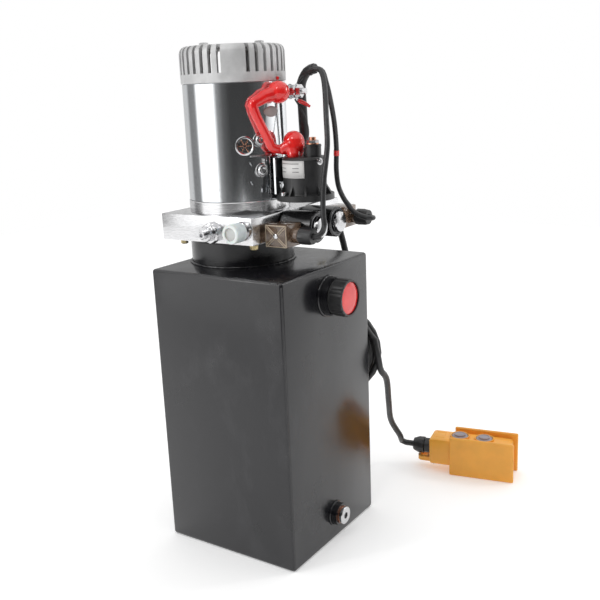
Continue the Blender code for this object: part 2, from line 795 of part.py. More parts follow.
def valves():
    for i, (end, y) in enumerate(zip(("front", "rear"), VALVE_Y)):
        at = (BLOCK_X1, y, VALVE_Z)
        along = dict(axis=RIGHT, at=at)
        flats = hexagon(22, 12.2)
        c0 = 2.4
        c1 = c0 + COIL_L
        profile = [
            (5.3, -38),
            (7, -38),
            (8, -37),
            (8, GAP),
            (flats, GAP),
            (flats, c0 - GAP),
            (8, c0 - GAP),
            (8, c1 + 3.6),
            (0, c1 + 3.6),
            (0, c1 - 2),
            (5.3, c1 - 2),
        ]
        # The spool's bore opens at the inner end of the stem.
        turned(
            f"valve_stem_{end}",
            [profile[8]] + profile[7::-1] + [profile[10], profile[9]],
            "bright_steel",
            n=24,
            **along,
        )
        r = COIL_R
        profile = [
            (8.3, c0),
            (r - 1.2, c0),
            (r, c0 + 1.2),
            (r, c1 - 1.2),
            (r - 1.2, c1),
            (15.4, c1),
            (15.4, c1 - 1),
            (8.3, c1 - 1),
        ]
        coil = turned(f"valve_coil_{end}", profile, "black_plastic", n=30, **along)
        sign = -1 if i == 0 else 1
        out = 0.0 if i == 0 else 9.0
        lift = 0.0 if i == 0 else 6.0
        x0, x1 = BLOCK_X1 + 5 + out, BLOCK_X1 + 36.6 + out
        near, far = y + sign * (r + 0.6), y + sign * (r + 33.6)
        z0, z1 = VALVE_Z - 18.6 + lift, VALVE_Z + 9.2 + lift
        a, b = sorted((y + sign * 11, y + sign * (r + 0.3)))
        foot = box(f"c_foot_{end}", (x0 + 2, a, z0 + 3), (x1 - 2, b, z1 - 1), None)
        join(coil, foot)
        bake(coil)
        profile = [
            (8.3, c1 + 0.3),
            (hexagon(26, 13.5), c1 + 0.3),
            (hexagon(26, 13.5), c1 + 3.5),
            (12.4, c1 + 5.6),
            (9, c1 + 7),
            (4.5, c1 + 7.6),
            (0, c1 + 7.8),
            (0, c1 + 4.2),
            (8.3, c1 + 4.2),
        ]
        turned(
            f"coil_nut_{end}",
            [profile[6]] + profile[5::-1] + [profile[8], profile[7]],
            "bright_steel",
            n=24,
            **along,
        )
        rod(f"valve_spool_{end}", 5, -36, c1 - 8, "steel", n=24, **along)

        a, b = sorted((near, far))
        plug = box(f"connector_{end}", (x0, a, z0), (x1, b, z1), "smoke_plastic", 2.0, 2)
        side = (a + b) / 2 + sign * 0.5
        g = (x1, side, (z0 + z1) / 2)
        barrel = rod(f"c_barrel_{end}", 8.5, -4, 10, None, n=24, axis=RIGHT, at=g)
        join(plug, barrel)
        bake(plug)
        hole = rod(f"c_entry_{end}", 4.6, 0, 15, None, n=20, axis=RIGHT, at=g)
        cut(plug, hole)
        bake(plug)
        profile = [
            (4.1, 10.3),
            (9.6, 10.3),
            (ribbed(10.5, 0.8, 12), 11.2),
            (ribbed(10.5, 0.8, 12), 22),
            (9.2, 27.8),
            (4.1, 27.8),
        ]
        turned(f"gland_nut_{end}", profile, "black_plastic", n=24, axis=RIGHT, at=g)
        GLANDS[end] = g


def boots():
    """The two red boots and the sleeve of the strap between them."""
    theta, at = TERMINALS[0]
    r = TUBE_R
    profile = [
        (5.4, r + 1.2),
        (8.5, r + 1.2),
        (11, r + 4.5),
        (12.6, r + 9.5),
        (12.2, r + 14.5),
        (9.2, r + 20.2),
        (4.6, r + 23),
        (0, r + 23.6),
        (0, r + 16),
        (5.4, r + 16),
    ]
    turned(
        "red_boot_upper",
        [profile[7]] + profile[6::-1] + [profile[9], profile[8]],
        "red_vinyl",
        n=22,
        axis=radial(theta),
        at=at,
    )
    z = RELAY_Z + RELAY_H
    x, y = STUDS[0]
    profile = [
        (10.6, z + 0.6),
        (13.2, z + 0.6),
        (14.2, z + 6),
        (14.2, z + 16),
        (12.6, z + 23),
        (8.6, z + 28),
        (3, z + 30.4),
        (0, z + 30.6),
        (0, z + TOWER + 9),
        (10.6, z + TOWER + 9),
    ]
    turned(
        "red_boot_lower",
        [profile[7]] + profile[6::-1] + [profile[9], profile[8]],
        "red_vinyl",
        n=22,
        at=(x, y, 0),
    )
    top = TERM_Z
    low = z + 9.5  # where the strap meets the lower boot
    beside = theta - math.degrees(13.4 / STRAP)  # just clear of the boot's widest ring
    way = [
        polar(beside, STRAP + 0.6, top + 2.6),
        polar(beside - 7.4, STRAP + 0.8, top + 3.0),
        polar(-32, STRAP + 1.0, top - 2),
        polar(-36.6, STRAP + 1.0, top - 9.5),
        polar(-36.4, STRAP + 0.4, top - 17),
        polar(-32.5, STRAP + 0.2, top - 28),
        polar(-26.5, STRAP, top - 42),
        polar(-20.5, STRAP, top - 56),
        polar(-17, STRAP + 0.6, low + 3),
        (x - 12.4, y - 14.6, low),
        (x - 10.8, y - 12.4, low),
    ]
    swept("red_strap", flow(way, 8), 5.8, "red_vinyl", n=10)


def wiring():
    top = COVER_Z1 - 33
    front, rear = GLANDS["front"], GLANDS["rear"]
    peak = (62, 40, top)
    way = [
        (front[0] + 9, front[1], front[2]),
        (front[0] + 18, front[1], front[2]),
        (front[0] + 30, front[1], front[2]),
        (front[0] + 36, front[1] + 4, front[2] + 3.5),
        (front[0] + 35.5, front[1] + 12, front[2] + 11),
        (110.6, -22.4, BLOCK_Z0 + 36),
        (109.5, -20, BLOCK_Z0 + 54),
        (109.6, -16.6, BLOCK_Z0 + 76),
        (110, -11.4, BLOCK_Z0 + 97),
        (108.8, -5, BLOCK_Z0 + 118),
        (101.5, 6, BLOCK_Z0 + 149),
        (92.4, 20, BLOCK_Z0 + 175),
        (84, 30.5, top - 10),
        (76.5, 35.6, top - 1),
        (peak[0] + 5.6, 36.4, top + 0.8),
    ]
    swept("valve_lead_front", flow(way, 9), 3.3, "cable_jacket", n=8)
    way = [
        (rear[0] + 9, rear[1], rear[2]),
        (rear[0] + 18, rear[1], rear[2]),
        (rear[0] + 29, rear[1] - 0.4, rear[2]),
        (rear[0] + 36.5, rear[1] - 4.5, rear[2] + 0.4),
        (rear[0] + 36, rear[1] - 12.5, rear[2] + 1.2),
        (rear[0] + 24, rear[1] - 15, rear[2] + 4),
        (rear[0] + 12, rear[1] - 14, rear[2] + 9.5),
        (rear[0] + 4.2, rear[1] - 11.5, rear[2] + 16.8),
        (80.4, 76, BLOCK_Z0 + 41),
        (71.5, 79, BLOCK_Z0 + 56),
        (68.5, 80, BLOCK_Z0 + 77),
        (71, 77.5, BLOCK_Z0 + 105),
        (76, 66, BLOCK_Z0 + 137),
        (79, 52, BLOCK_Z0 + 169),
        (78.5, 44.6, top - 14),
        (75, 43.8, top - 3),
        (peak[0] + 5.6, 43.6, top + 0.8),
    ]
    swept("valve_lead_rear", flow(way, 9), 3.3, "cable_jacket", n=8)
    way = [
        (peak[0] + 2.8, 40, top + 0.8),
        (peak[0] - 2, 40, top),
        (53, 40, top - 4),
        (44.5, 41.5, top - 18),
        (42, 46, top - 44),
        (41, 49, top - 76),
        (39.5, 54, top - 100),
        (35, 66, top - 125),
        (28, 84, top - 144),
        (20, 101, top - 154),
        (15, 114, top - 158.6),
        (14, 119, top - 159.4),
    ]
    swept("harness_sheath", flow(way, 10), 6.0, "cable_jacket", n=10)


PLACE = Matrix.Translation((152, 264.3, 0)) @ Matrix.Rotation(math.radians(11), 4, "Z")
BUTTONS = (11.5, 48.5)
CASE_Z0, CASE_Z1 = 12.0, 54.5
CASE_U0 = -33.0


def pendant():
    u1 = CASE_U0 + CASE_L
    case = box(
        "pendant_case",
        (CASE_U0, -20, CASE_Z0),
        (u1, 20, CASE_Z1),
        "yellow_plastic",
        5.0,
        2,
        PLACE,
    )
    bake(case)
    guard = []
    for k, (a, b) in enumerate(((-24, -19.4), (19.4, 24))):
        guard.append(box(f"c_guard{k}", (0, a, 0), (u1 + 6, b, 61), None, 1.4, 1, PLACE))
    hook = slab(
        "c_hook",
        rounded(CASE_U0 - 20, CASE_U0 + 6, -12, 12, 8, 3),
        CASE_Z0 + 1,
        CASE_Z0 + 7.5,
        None,
        PLACE,
    )
    eye = slab(
        "c_eye",
        rounded(CASE_U0 - 16, CASE_U0 - 5, -6.5, 6.5, 3, 2),
        CASE_Z0 - 5,
        CASE_Z0 + 14,
        None,
        PLACE,
    )
    join(case, *guard, hook)
    cutters = [eye]
    for k, u in enumerate(BUTTONS):
        at = PLACE @ Vector((u, 0, 0))
        collar = rod(f"c_bezel{k}", BUTTON_R + 2.1, CASE_Z1 - 4, CASE_Z1 + 2.4, None, n=24, at=at)
        join(case, collar)
        cutters.append(rod(f"c_well{k}", BUTTON_R + GAP, CASE_Z1 - 12, 90, None, n=24, at=at))
    at = PLACE @ Vector((CASE_U0, 0, 34))
    back = PLACE.to_3x3() @ Vector((-1, 0, 0))
    cutters.append(rod("c_gland", 8.3, -14, 8, None, n=24, axis=back, at=at))
    cut(case, *cutters)
    bake(case, 40)
    for name, u in zip(("button_raise", "button_lower"), BUTTONS):
        z = CASE_Z1
        profile = [
            (0, z - 8),
            (9, z - 8),
            (9, z - 3.5),
            (BUTTON_R, z - 3.5),
            (BUTTON_R, z + 1.6),
            (BUTTON_R - 1.4, z + 3),
            (8, z + 3.4),
            (7.2, z + 4.6),
            (3.5, z + 5),
            (0, z + 5),
        ]
        turned(name, profile, "grey_rubber", n=20, at=PLACE @ Vector((u, 0, 0)))
    flats = hexagon(22, 12)
    profile = [
        (CABLE_R + 0.4, -13),
        (8, -13),
        (8, GAP),
        (flats, GAP),
        (flats, 9),
        (8.6, 9),
        (8.6, 10.6),
        (ribbed(12.6, 0.9, 12), 10.6),
        (ribbed(12.6, 0.9, 12), 20),
        (9.4, 27.5),
        (CABLE_R + 0.4, 29),
    ]
    turned("pendant_gland", profile, "black_plastic", n=24, axis=back, at=at)
    return at, back


def coil_path(centre, mid, pitch, turns, per_turn):
    """A hank of cable: each turn keeps its own place in a three-wide bundle and steps to the next
    place only where that place has already been left."""
    places = [(-1, 1), (-1, 0), (-1, -1), (0, -1), (0, 0), (0, 1), (1, 1), (1, 0)]
    windows = [4, 4, 3, 2, 2, 1, 0]
    path = []
    for k in range(turns):
        here = np.array(places[k], float)
        after = np.array(places[k + 1], float)
        for i in range(per_turn):
            f = i / per_turn
            t = min(1.0, max(0.0, f * 5.2 - windows[k]))
            t = t * t * (3 - 2 * t)
            r_off, y_off = here + (after - here) * t
            a = -2 * math.pi * f
            r = mid + r_off * pitch
            x = centre[0] + r * math.cos(a)
            z = centre[2] + r * math.sin(a)
            path.append((x, centre[1] + y_off * pitch, z))
    return np.array(path)


def cable():
    at, back = pendant()
    path = coil_path((42, TANK_D / 2 + 17.2, 222), 48, 9.8, 7, 12)
    swept("pendant_coil", path, CABLE_R, "cable_jacket", n=6)
    a, b = path[0], path[-1]
    way = [
        (13.9, 120.2, COVER_Z1 - 192.5),
        (13, 128, COVER_Z1 - 194),
        (13, 136, COVER_Z1 - 198),
        (15, 144, COVER_Z1 - 209),
        (19, 148.5, BLOCK_Z0 + 8),
        (27, 149, BLOCK_Z0 - 8),
        (37, 147, BLOCK_Z0 - 38),
        (45, 145, 335),
        (56, 143, 303),
        (67, 141, 273),
        (73, 138, 249),
        tuple(a + (-3.2, 3.5, 13)),
        tuple(a + (-0.8, 0.6, 3.2)),
    ]
    swept("pendant_cable_upper", flow(way, 18), CABLE_R, "cable_jacket", n=7)
    step = b - path[-2]
    end = np.array(at) + np.array(back) * 31
    way = [
        tuple(b + step * 0.05),
        tuple(b + step * 0.35),
        (101.5, 115.5, 236),
        (106, 115, 218),
        (107, 119, 200),
        (105, 140, 179),
        (89.5, 175, 128.6),
        (77, 205, 88),
        (78, 232, 53),
        tuple(end + np.array(back) * 16 + np.array((0, 0, 1.5))),
        tuple(end + np.array(back) * 4),
        tuple(np.array(at) - np.array(back) * 8),
    ]
    swept("pendant_cable_lower", flow(way, 13), CABLE_R, "cable_jacket", n=8)


def hinge_empties():
    """Empties that mark the axes of the turning pieces."""
    for name, where in (
        ("axis_motor", (AXIS_X, AXIS_Y, FLANGE_Z0)),
        ("axis_filler", (SIDE, 0, FILLER_Z)),
        ("axis_drain", (SIDE, 0, DRAIN_Z)),
        ("axis_relief", (RELIEF_X, BLOCK_Y0, RELIEF_Z)),
    ):
        empty = bpy.data.objects.new(name, None)
        empty.location = [MM * c for c in where]
        bpy.context.scene.collection.objects.link(empty)


tank()
block()
pump()
motor()
terminals()
bracket()
relay()
valves()
boots()
wiring()
cable()
hinge_empties()
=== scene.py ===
"""Looks for the hydraulic power unit: camera, cord, materials and the small pieces."""

import json
import math

import bmesh
import bpy
import numpy as np
from mathutils import Matrix, Vector


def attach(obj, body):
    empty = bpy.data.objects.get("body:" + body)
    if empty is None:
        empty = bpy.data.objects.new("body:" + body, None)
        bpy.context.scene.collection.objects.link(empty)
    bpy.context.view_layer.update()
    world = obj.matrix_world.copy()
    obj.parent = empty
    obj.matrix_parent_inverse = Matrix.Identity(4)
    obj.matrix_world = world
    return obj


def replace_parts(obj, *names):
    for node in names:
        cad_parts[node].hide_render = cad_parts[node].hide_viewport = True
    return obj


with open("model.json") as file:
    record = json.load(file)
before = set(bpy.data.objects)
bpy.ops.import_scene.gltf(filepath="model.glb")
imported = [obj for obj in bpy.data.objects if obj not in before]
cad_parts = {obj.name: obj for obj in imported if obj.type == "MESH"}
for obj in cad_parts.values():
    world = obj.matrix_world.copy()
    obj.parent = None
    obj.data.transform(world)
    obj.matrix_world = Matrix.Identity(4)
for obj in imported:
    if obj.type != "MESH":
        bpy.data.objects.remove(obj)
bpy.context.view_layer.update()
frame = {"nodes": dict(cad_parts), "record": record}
NODES = frame["nodes"]
MM = 0.001
UP, RIGHT, FRONT = (0, 0, 1), (1, 0, 0), (0, -1, 0)
AXIS = (-32.0, 4.0)


# ---------------------------------------------------------------- camera, floor, light

def camera():
    az, el, roll = math.radians(34.04), math.radians(14.26), math.radians(-2.40)
    back = Vector((math.sin(az) * math.cos(el), -math.cos(az) * math.cos(el), math.sin(el)))
    right = Vector((math.cos(az), math.sin(az), 0))
    up = back.cross(right)
    right, up = (
        right * math.cos(roll) + up * math.sin(roll),
        up * math.cos(roll) - right * math.sin(roll),
    )
    data = bpy.data.cameras.new("camera")
    data.lens, data.sensor_width, data.clip_start = 50.2, 36.0, 0.05
    obj = bpy.data.objects.new("camera", data)
    bpy.context.scene.collection.objects.link(obj)
    turn = Matrix((right, up, back)).transposed().to_4x4()
    obj.matrix_world = Matrix.Translation((0.6345, -0.8545, 0.5850)) @ turn
    bpy.context.scene.camera = obj


def node(tree, kind, **sets):
    """A node with its settings and constant inputs."""
    n = tree.nodes.new(kind)
    for key, value in sets.items():
        if key.startswith("i_"):
            n.inputs[key[2:].replace("_", " ")].default_value = value
        else:
            setattr(n, key, value)
    return n


def ramp(tree, stops, interpolation="LINEAR"):
    n = tree.nodes.new("ShaderNodeValToRGB")
    n.color_ramp.interpolation = interpolation
    bar = n.color_ramp.elements
    while len(bar) < len(stops):
        bar.new(0.5)
    for e, (pos, value) in zip(bar, stops):
        e.position = pos
        c = value if isinstance(value, tuple) else (value, value, value)
        e.color = (*c, 1)
    return n


def studio():
    """White to the camera; to every other ray a studio with a dark side behind the camera and
    large soft lights to its left and right."""
    world = bpy.data.worlds.new("studio")
    world.use_nodes = True
    bpy.context.scene.world = world
    t = world.node_tree
    t.nodes.clear()
    link = t.links.new
    coords = t.nodes.new("ShaderNodeTexCoord")
    dots = []
    for v in ((0.8286, 0.5598, 0), (0.5598, -0.8286, 0)):
        d = node(t, "ShaderNodeVectorMath", operation="DOT_PRODUCT")
        link(coords.outputs["Generated"], d.inputs[0])
        d.inputs[1].default_value = v
        dots.append(d)
    angle = node(t, "ShaderNodeMath", operation="ARCTAN2")
    link(dots[0].outputs["Value"], angle.inputs[0])
    link(dots[1].outputs["Value"], angle.inputs[1])
    unit = node(t, "ShaderNodeMapRange")
    unit.inputs["From Min"].default_value = -math.pi
    unit.inputs["From Max"].default_value = math.pi
    link(angle.outputs[0], unit.inputs["Value"])
    def at(deg):
        return (deg + 180) / 360
    around = ramp(
        t,
        [
            (0.0, 0.62), (at(-128), 0.66), (at(-118), 0.24), (at(-96), 0.28), (at(-88), 1.6),
            (at(-46), 1.65), (at(-38), 0.34), (at(-24), 0.12), (at(-8), 0.05), (at(34), 0.05),
            (at(70), 0.10), (at(84), 0.9), (at(104), 1.5), (at(112), 0.5), (at(120), 1.4),
            (at(150), 1.0), (1.0, 0.62),
        ],
    )
    link(unit.outputs[0], around.inputs[0])
    split = t.nodes.new("ShaderNodeSeparateXYZ")
    link(coords.outputs["Generated"], split.inputs[0])
    high = ramp(t, [(0.0, 0.0), (0.42, 0.0), (0.75, 1.0), (1.0, 1.0)])
    link(split.outputs["Z"], high.inputs[0])
    mix = node(t, "ShaderNodeMix", data_type="RGBA")
    link(high.outputs[0], mix.inputs[0])
    link(around.outputs[0], mix.inputs[6])
    mix.inputs[7].default_value = (1.1, 1.1, 1.1, 1)
    rays = t.nodes.new("ShaderNodeLightPath")
    seen = node(t, "ShaderNodeMix", data_type="RGBA")
    link(rays.outputs["Is Camera Ray"], seen.inputs[0])
    link(mix.outputs[2], seen.inputs[6])
    seen.inputs[7].default_value = (1, 1, 1, 1)
    shade = node(t, "ShaderNodeBackground", i_Strength=1.0)
    link(seen.outputs[2], shade.inputs["Color"])
    out = t.nodes.new("ShaderNodeOutputWorld")
    link(shade.outputs[0], out.inputs[0])
    bpy.context.scene.view_settings.view_transform = "Standard"


def lamp(name, at, to, size, power):
    data = bpy.data.lights.new(name, "AREA")
    data.shape, data.size, data.size_y, data.energy = "RECTANGLE", size[0], size[1], power
    obj = bpy.data.objects.new(name, data)
    bpy.context.scene.collection.objects.link(obj)
    obj.location = at
    way = Vector(to) - Vector(at)
    obj.rotation_euler = way.to_track_quat("-Z", "Y").to_euler()


def floor():
    bpy.ops.mesh.primitive_plane_add(size=5.0, location=(0, 0, -0.0003))
    obj = bpy.context.object
    obj.name = "floor"
    mat = bpy.data.materials.new("floor_paper")
    mat.use_nodes = True
    p = mat.node_tree.nodes["Principled BSDF"]
    p.inputs["Roughness"].default_value = 0.9
    # painted falloff of the light: the floor glows a little, and its colour and glow grade darker away
    # from the camera
    p.inputs["Emission Strength"].default_value = 0.22
    coords = mat.node_tree.nodes.new("ShaderNodeTexCoord")
    ahead = node(mat.node_tree, "ShaderNodeVectorMath", operation="DOT_PRODUCT")
    mat.node_tree.links.new(coords.outputs["Object"], ahead.inputs[0])
    ahead.inputs[1].default_value = (0.5598, -0.8286, 0)
    far = ramp(mat.node_tree, [(0.0, 0.94), (0.08, 0.90), (0.4, 0.84), (1.0, 0.84)])
    to_range(mat.node_tree, ahead.outputs["Value"], 0.25, 3.5, 0.0, 1.0, far.inputs[0])
    for socket in ("Base Color", "Emission Color"):
        mat.node_tree.links.new(far.outputs[0], p.inputs[socket])
    obj.data.materials.append(mat)


# ---------------------------------------------------------------- materials

def material(name, colour, metal=0.0, rough=0.4, **more):
    """A Principled material: (material, tree, shader, object coordinates)."""
    mat = bpy.data.materials.new(name)
    mat.use_nodes = True
    t = mat.node_tree
    p = t.nodes["Principled BSDF"]
    p.inputs["Base Color"].default_value = (*colour, 1)
    p.inputs["Metallic"].default_value = metal
    p.inputs["Roughness"].default_value = rough
    for key, value in more.items():
        p.inputs[key.replace("_", " ")].default_value = value
    coords = t.nodes.new("ShaderNodeTexCoord").outputs["Object"]
    return mat, t, p, coords


def noise(t, coords, scale, detail=3.0, stretch=None, rough=0.55):
    """Noise of that scale in features per metre, stretched along the axes."""
    if stretch:
        m = node(t, "ShaderNodeMapping")
        m.inputs["Scale"].default_value = stretch
        t.links.new(coords, m.inputs["Vector"])
        coords = m.outputs[0]
    n = node(t, "ShaderNodeTexNoise", i_Scale=scale, i_Detail=detail, i_Roughness=rough)
    t.links.new(coords, n.inputs["Vector"])
    return n.outputs["Fac"]


def to_range(t, value, lo, hi, a, b, socket):
    m = node(t, "ShaderNodeMapRange")
    m.inputs["From Min"].default_value, m.inputs["From Max"].default_value = lo, hi
    m.inputs["To Min"].default_value, m.inputs["To Max"].default_value = a, b
    t.links.new(value, m.inputs["Value"])
    t.links.new(m.outputs[0], socket)
    return m.outputs[0]


def tint(t, value, low, high, socket, lo=0.35, hi=0.65):
    r = ramp(t, [(lo, low), (hi, high)])
    t.links.new(value, r.inputs[0])
    t.links.new(r.outputs[0], socket)
    return r.outputs[0]


def bump(t, p, value, strength, distance, last=None):
    b = node(t, "ShaderNodeBump", i_Strength=strength, i_Distance=distance)
    t.links.new(value, b.inputs["Height"])
    if last:
        t.links.new(last, b.inputs["Normal"])
    t.links.new(b.outputs[0], p.inputs["Normal"])
    return b.outputs[0]


def powder_black(name="powder_black", rough=(0.16, 0.30)):
    """Gloss black powder coat: faint orange peel, clouded gloss, rubbed grey smudges."""
    mat, t, p, c = material(name, (0.012, 0.012, 0.014), 0.0, 0.2)
    p.inputs["Specular IOR Level"].default_value = 0.62
    cloud = noise(t, c, 9, 4)
    to_range(t, cloud, 0.3, 0.7, *rough, p.inputs["Roughness"])
    smudge = noise(t, c, 26, 6, (1, 1, 0.6), 0.7)
    tint(t, smudge, (0.008, 0.008, 0.010), (0.026, 0.026, 0.029), p.inputs["Base Color"], 0.52, 0.76)
    peel = noise(t, c, 900, 2)
    wave = noise(t, c, 60, 2)
    first = bump(t, p, peel, 0.05, 0.0003)
    bump(t, p, wave, 0.06, 0.0006, first)
    return mat


def chrome_tube():
    """Drawn bright steel: clouded gloss and faint grey specks."""
    mat, t, p, c = material("tube_steel", (0.72, 0.73, 0.74), 1.0, 0.14)
    p.inputs["Anisotropic"].default_value = 0.3
    cloud = noise(t, c, 26, 4, (1, 1, 0.35))
    to_range(t, cloud, 0.3, 0.7, 0.07, 0.15, p.inputs["Roughness"])
    tint(t, noise(t, c, 320, 3), (0.60, 0.61, 0.63), (0.80, 0.82, 0.84), p.inputs["Base Color"],
         0.2, 0.42)
    bump(t, p, noise(t, c, 22, 2, (1, 1, 0.12)), 0.05, 0.0010)
    return mat


def brushed(name, colour, rough, stretch, scale=90, metal=1.0, depth=0.12):
    """Machined metal: lines along one way, scratches and clouded gloss."""
    mat, t, p, c = material(name, colour, metal, rough)
    lines = noise(t, c, scale, 4, stretch)
    scratch = noise(t, c, scale * 0.5, 6, (stretch[1], stretch[0], stretch[2]), 0.75)
    to_range(t, noise(t, c, 35, 5), 0.3, 0.7, rough * 0.7, rough * 1.35, p.inputs["Roughness"])
    low = tuple(v * 0.72 for v in colour)
    tint(t, lines, low, colour, p.inputs["Base Color"], 0.3, 0.6)
    first = bump(t, p, lines, depth, 0.0004)
    bump(t, p, scratch, depth * 0.6, 0.0003, first)
    return mat


def cast(name="cast_cover", colour=(0.60, 0.60, 0.60)):
    """Blasted casting under a thin grey lacquer: fine grain and darker low spots."""
    mat, t, p, c = material(name, colour, 0.35, 0.5)
    grain = noise(t, c, 1400, 3)
    patch = noise(t, c, 30, 5)
    tint(t, patch, tuple(v * 0.8 for v in colour), tuple(v * 1.1 for v in colour),
         p.inputs["Base Color"])
    to_range(t, grain, 0.3, 0.7, 0.42, 0.62, p.inputs["Roughness"])
    bump(t, p, grain, 0.3, 0.0004)
    return mat


def plated(name, colour=(0.66, 0.66, 0.67), rough=0.16, depth=0.05):
    """Bright plated steel: small pits and clouded gloss."""
    mat, t, p, c = material(name, colour, 1.0, rough)
    to_range(t, noise(t, c, 260, 4), 0.3, 0.7, rough * 0.6, rough * 1.6, p.inputs["Roughness"])
    tint(t, noise(t, c, 700, 4), tuple(v * 0.7 for v in colour), colour,
         p.inputs["Base Color"], 0.25, 0.5)
    bump(t, p, noise(t, c, 900, 3), depth, 0.0003)
    return mat


def plastic(name, colour, rough=0.42, grain=1300, depth=0.12, vary=0.25, **more):
    """Moulded plastic: fine spark-eroded grain, slight colour and gloss drift."""
    mat, t, p, c = material(name, colour, 0.0, rough, **more)
    tint(
        t,
        noise(t, c, 45, 5),
        tuple(v * (1 - vary) for v in colour),
        tuple(min(1, v * (1 + vary * 0.5)) for v in colour),
        p.inputs["Base Color"],
    )
    to_range(t, noise(t, c, 160, 4), 0.3, 0.7, rough * 0.82, rough * 1.2, p.inputs["Roughness"])
    bump(t, p, noise(t, c, grain, 2), depth, 0.0003)
    return mat


def vinyl(name="red_vinyl"):
    """Dip-moulded red vinyl: wet gloss over soft ripples."""
    mat, t, p, c = material(name, (0.72, 0.012, 0.015), 0.0, 0.16, Coat_Weight=0.6)
    p.inputs["Subsurface Weight"].default_value = 0.05
    p.inputs["Subsurface Radius"].default_value = (0.006, 0.001, 0.001)
    p.inputs["Subsurface Scale"].default_value = 0.6
    tint(t, noise(t, c, 40, 3), (0.78, 0.010, 0.012), (0.90, 0.028, 0.024), p.inputs["Base Color"])
    to_range(t, noise(t, c, 120, 3), 0.3, 0.7, 0.06, 0.16, p.inputs["Roughness"])
    bump(t, p, noise(t, c, 90, 2), 0.04, 0.0006)
    return mat


def smoke(name="smoke_plastic"):
    """Clear smoke-brown moulding; the pale lines on its edges are painted highlights, made as separate
    pale tubes.
    """
    mat, t, p, c = material(name, (0.30, 0.19, 0.12), 0.0, 0.08, IOR=1.5, Coat_Weight=0.6)
    p.inputs["Transmission Weight"].default_value = 0.55
    tint(t, noise(t, c, 60, 3), (0.20, 0.125, 0.08), (0.38, 0.26, 0.18), p.inputs["Base Color"])
    to_range(t, noise(t, c, 90, 3), 0.3, 0.7, 0.05, 0.16, p.inputs["Roughness"])
    bump(t, p, noise(t, c, 150, 2), 0.06, 0.0004)
    return mat


def jacket(name="cable_jacket", colour=(0.022, 0.022, 0.023)):
    """Extruded cable jacket: long faint lines and dusty scuffs."""
    mat, t, p, c = material(name, colour, 0.0, 0.4)
    tint(t, noise(t, c, 130, 6, None, 0.7), colour, tuple(v * 2.6 for v in colour),
         p.inputs["Base Color"], 0.5, 0.8)
    to_range(t, noise(t, c, 220, 4), 0.3, 0.7, 0.30, 0.50, p.inputs["Roughness"])
    bump(t, p, noise(t, c, 500, 3), 0.12, 0.0003)
    return mat


def zinc(name="zinc_bolt"):
    """Yellow-passivated zinc: an uneven gold and green tint."""
    mat, t, p, c = material(name, (0.62, 0.5, 0.26), 1.0, 0.3)
    tint(t, noise(t, c, 400, 4), (0.42, 0.36, 0.2), (0.74, 0.6, 0.32), p.inputs["Base Color"])
    to_range(t, noise(t, c, 500, 3), 0.3, 0.7, 0.2, 0.42, p.inputs["Roughness"])
    bump(t, p, noise(t, c, 900, 2), 0.1, 0.0002)
    return mat


M = {
    "powder_black": powder_black(),
    "tube": chrome_tube(),
    "block": brushed("block_machined", (0.80, 0.80, 0.81), 0.22, (1.5, 1.5, 26), 110, 1.0, 0.05),
    "flange": brushed("flange_turned", (0.80, 0.80, 0.81), 0.15, (1, 1, 40), 60, 1.0, 0.05),
    "cast": cast(),
    "plated": plated("plated"),
    "steel": brushed("steel_machined", (0.5, 0.5, 0.51), 0.3, (1, 1, 12), 120),
    "copper": plated("copper", (0.80, 0.40, 0.26), 0.22),
    "black": plastic("black_plastic", (0.022, 0.022, 0.023), 0.38, 1500, 0.10, 0.3),
    "coil": plastic("coil_plastic", (0.018, 0.018, 0.019), 0.24, 900, 0.06, 0.3, Coat_Weight=0.3),
    "rubber": plastic("rubber", (0.03, 0.03, 0.03), 0.6, 900, 0.15),
    "jacket": jacket(),
    "red": vinyl(),
    "smoke": smoke(),
    "white": plastic("white_plastic", (0.82, 0.82, 0.80), 0.28, 500, 0.05, 0.06, Subsurface_Weight=0.2),
    "yellow": plastic("yellow_plastic", (0.92, 0.42, 0.055), 0.36, 1500, 0.10, 0.06,
                      Subsurface_Weight=0.08),
    "grey": plastic("grey_membrane", (0.34, 0.30, 0.33), 0.38, 600, 0.08, 0.18, Coat_Weight=0.2),
    "zinc": zinc(),
    "label": plastic("label_film", (0.66, 0.65, 0.64), 0.34, 700, 0.04, 0.05),
    "sticker": plastic("sticker_film", (0.40, 0.37, 0.36), 0.4, 260, 0.05, 0.25),
    "label_line": plastic("label_print", (0.22, 0.22, 0.22), 0.45, 900, 0.05, 0.3),
    # painted highlight: the pale colour of the connector's ribs and edge tubes stands in for light
    # catching the clear moulding
    "rib": plastic("rib_edge_highlight", (0.72, 0.60, 0.45), 0.2, 500, 0.05, 0.12, Transmission_Weight=0.3),
    "coil_grey": plastic("coil_face", (0.11, 0.11, 0.115), 0.34, 900, 0.08, 0.2),
    "clear": plastic("clear_dome", (0.86, 0.87, 0.85), 0.12, 500, 0.04, 0.05,
                     Transmission_Weight=0.45),
    "red_gloss": vinyl("red_plastic_disc"),
}
BY_SLOT = {
    "powder_black": "powder_black", "black_plastic": "black", "aluminium": "block",
    "cast_cover": "cast", "bright_steel": "plated", "steel": "steel", "copper": "copper",
    "rubber": "rubber", "cable_jacket": "jacket", "red_vinyl": "red", "smoke_plastic": "smoke",
    "white_plastic": "white", "yellow_plastic": "yellow", "grey_rubber": "grey",
}
BY_NODE = {
    "motor_tube": "tube", "motor_flange": "flange", "valve_coil_front": "coil",
    "valve_coil_rear": "coil", "relay_bracket": "tube", "relay_stud_left": "plated",
}


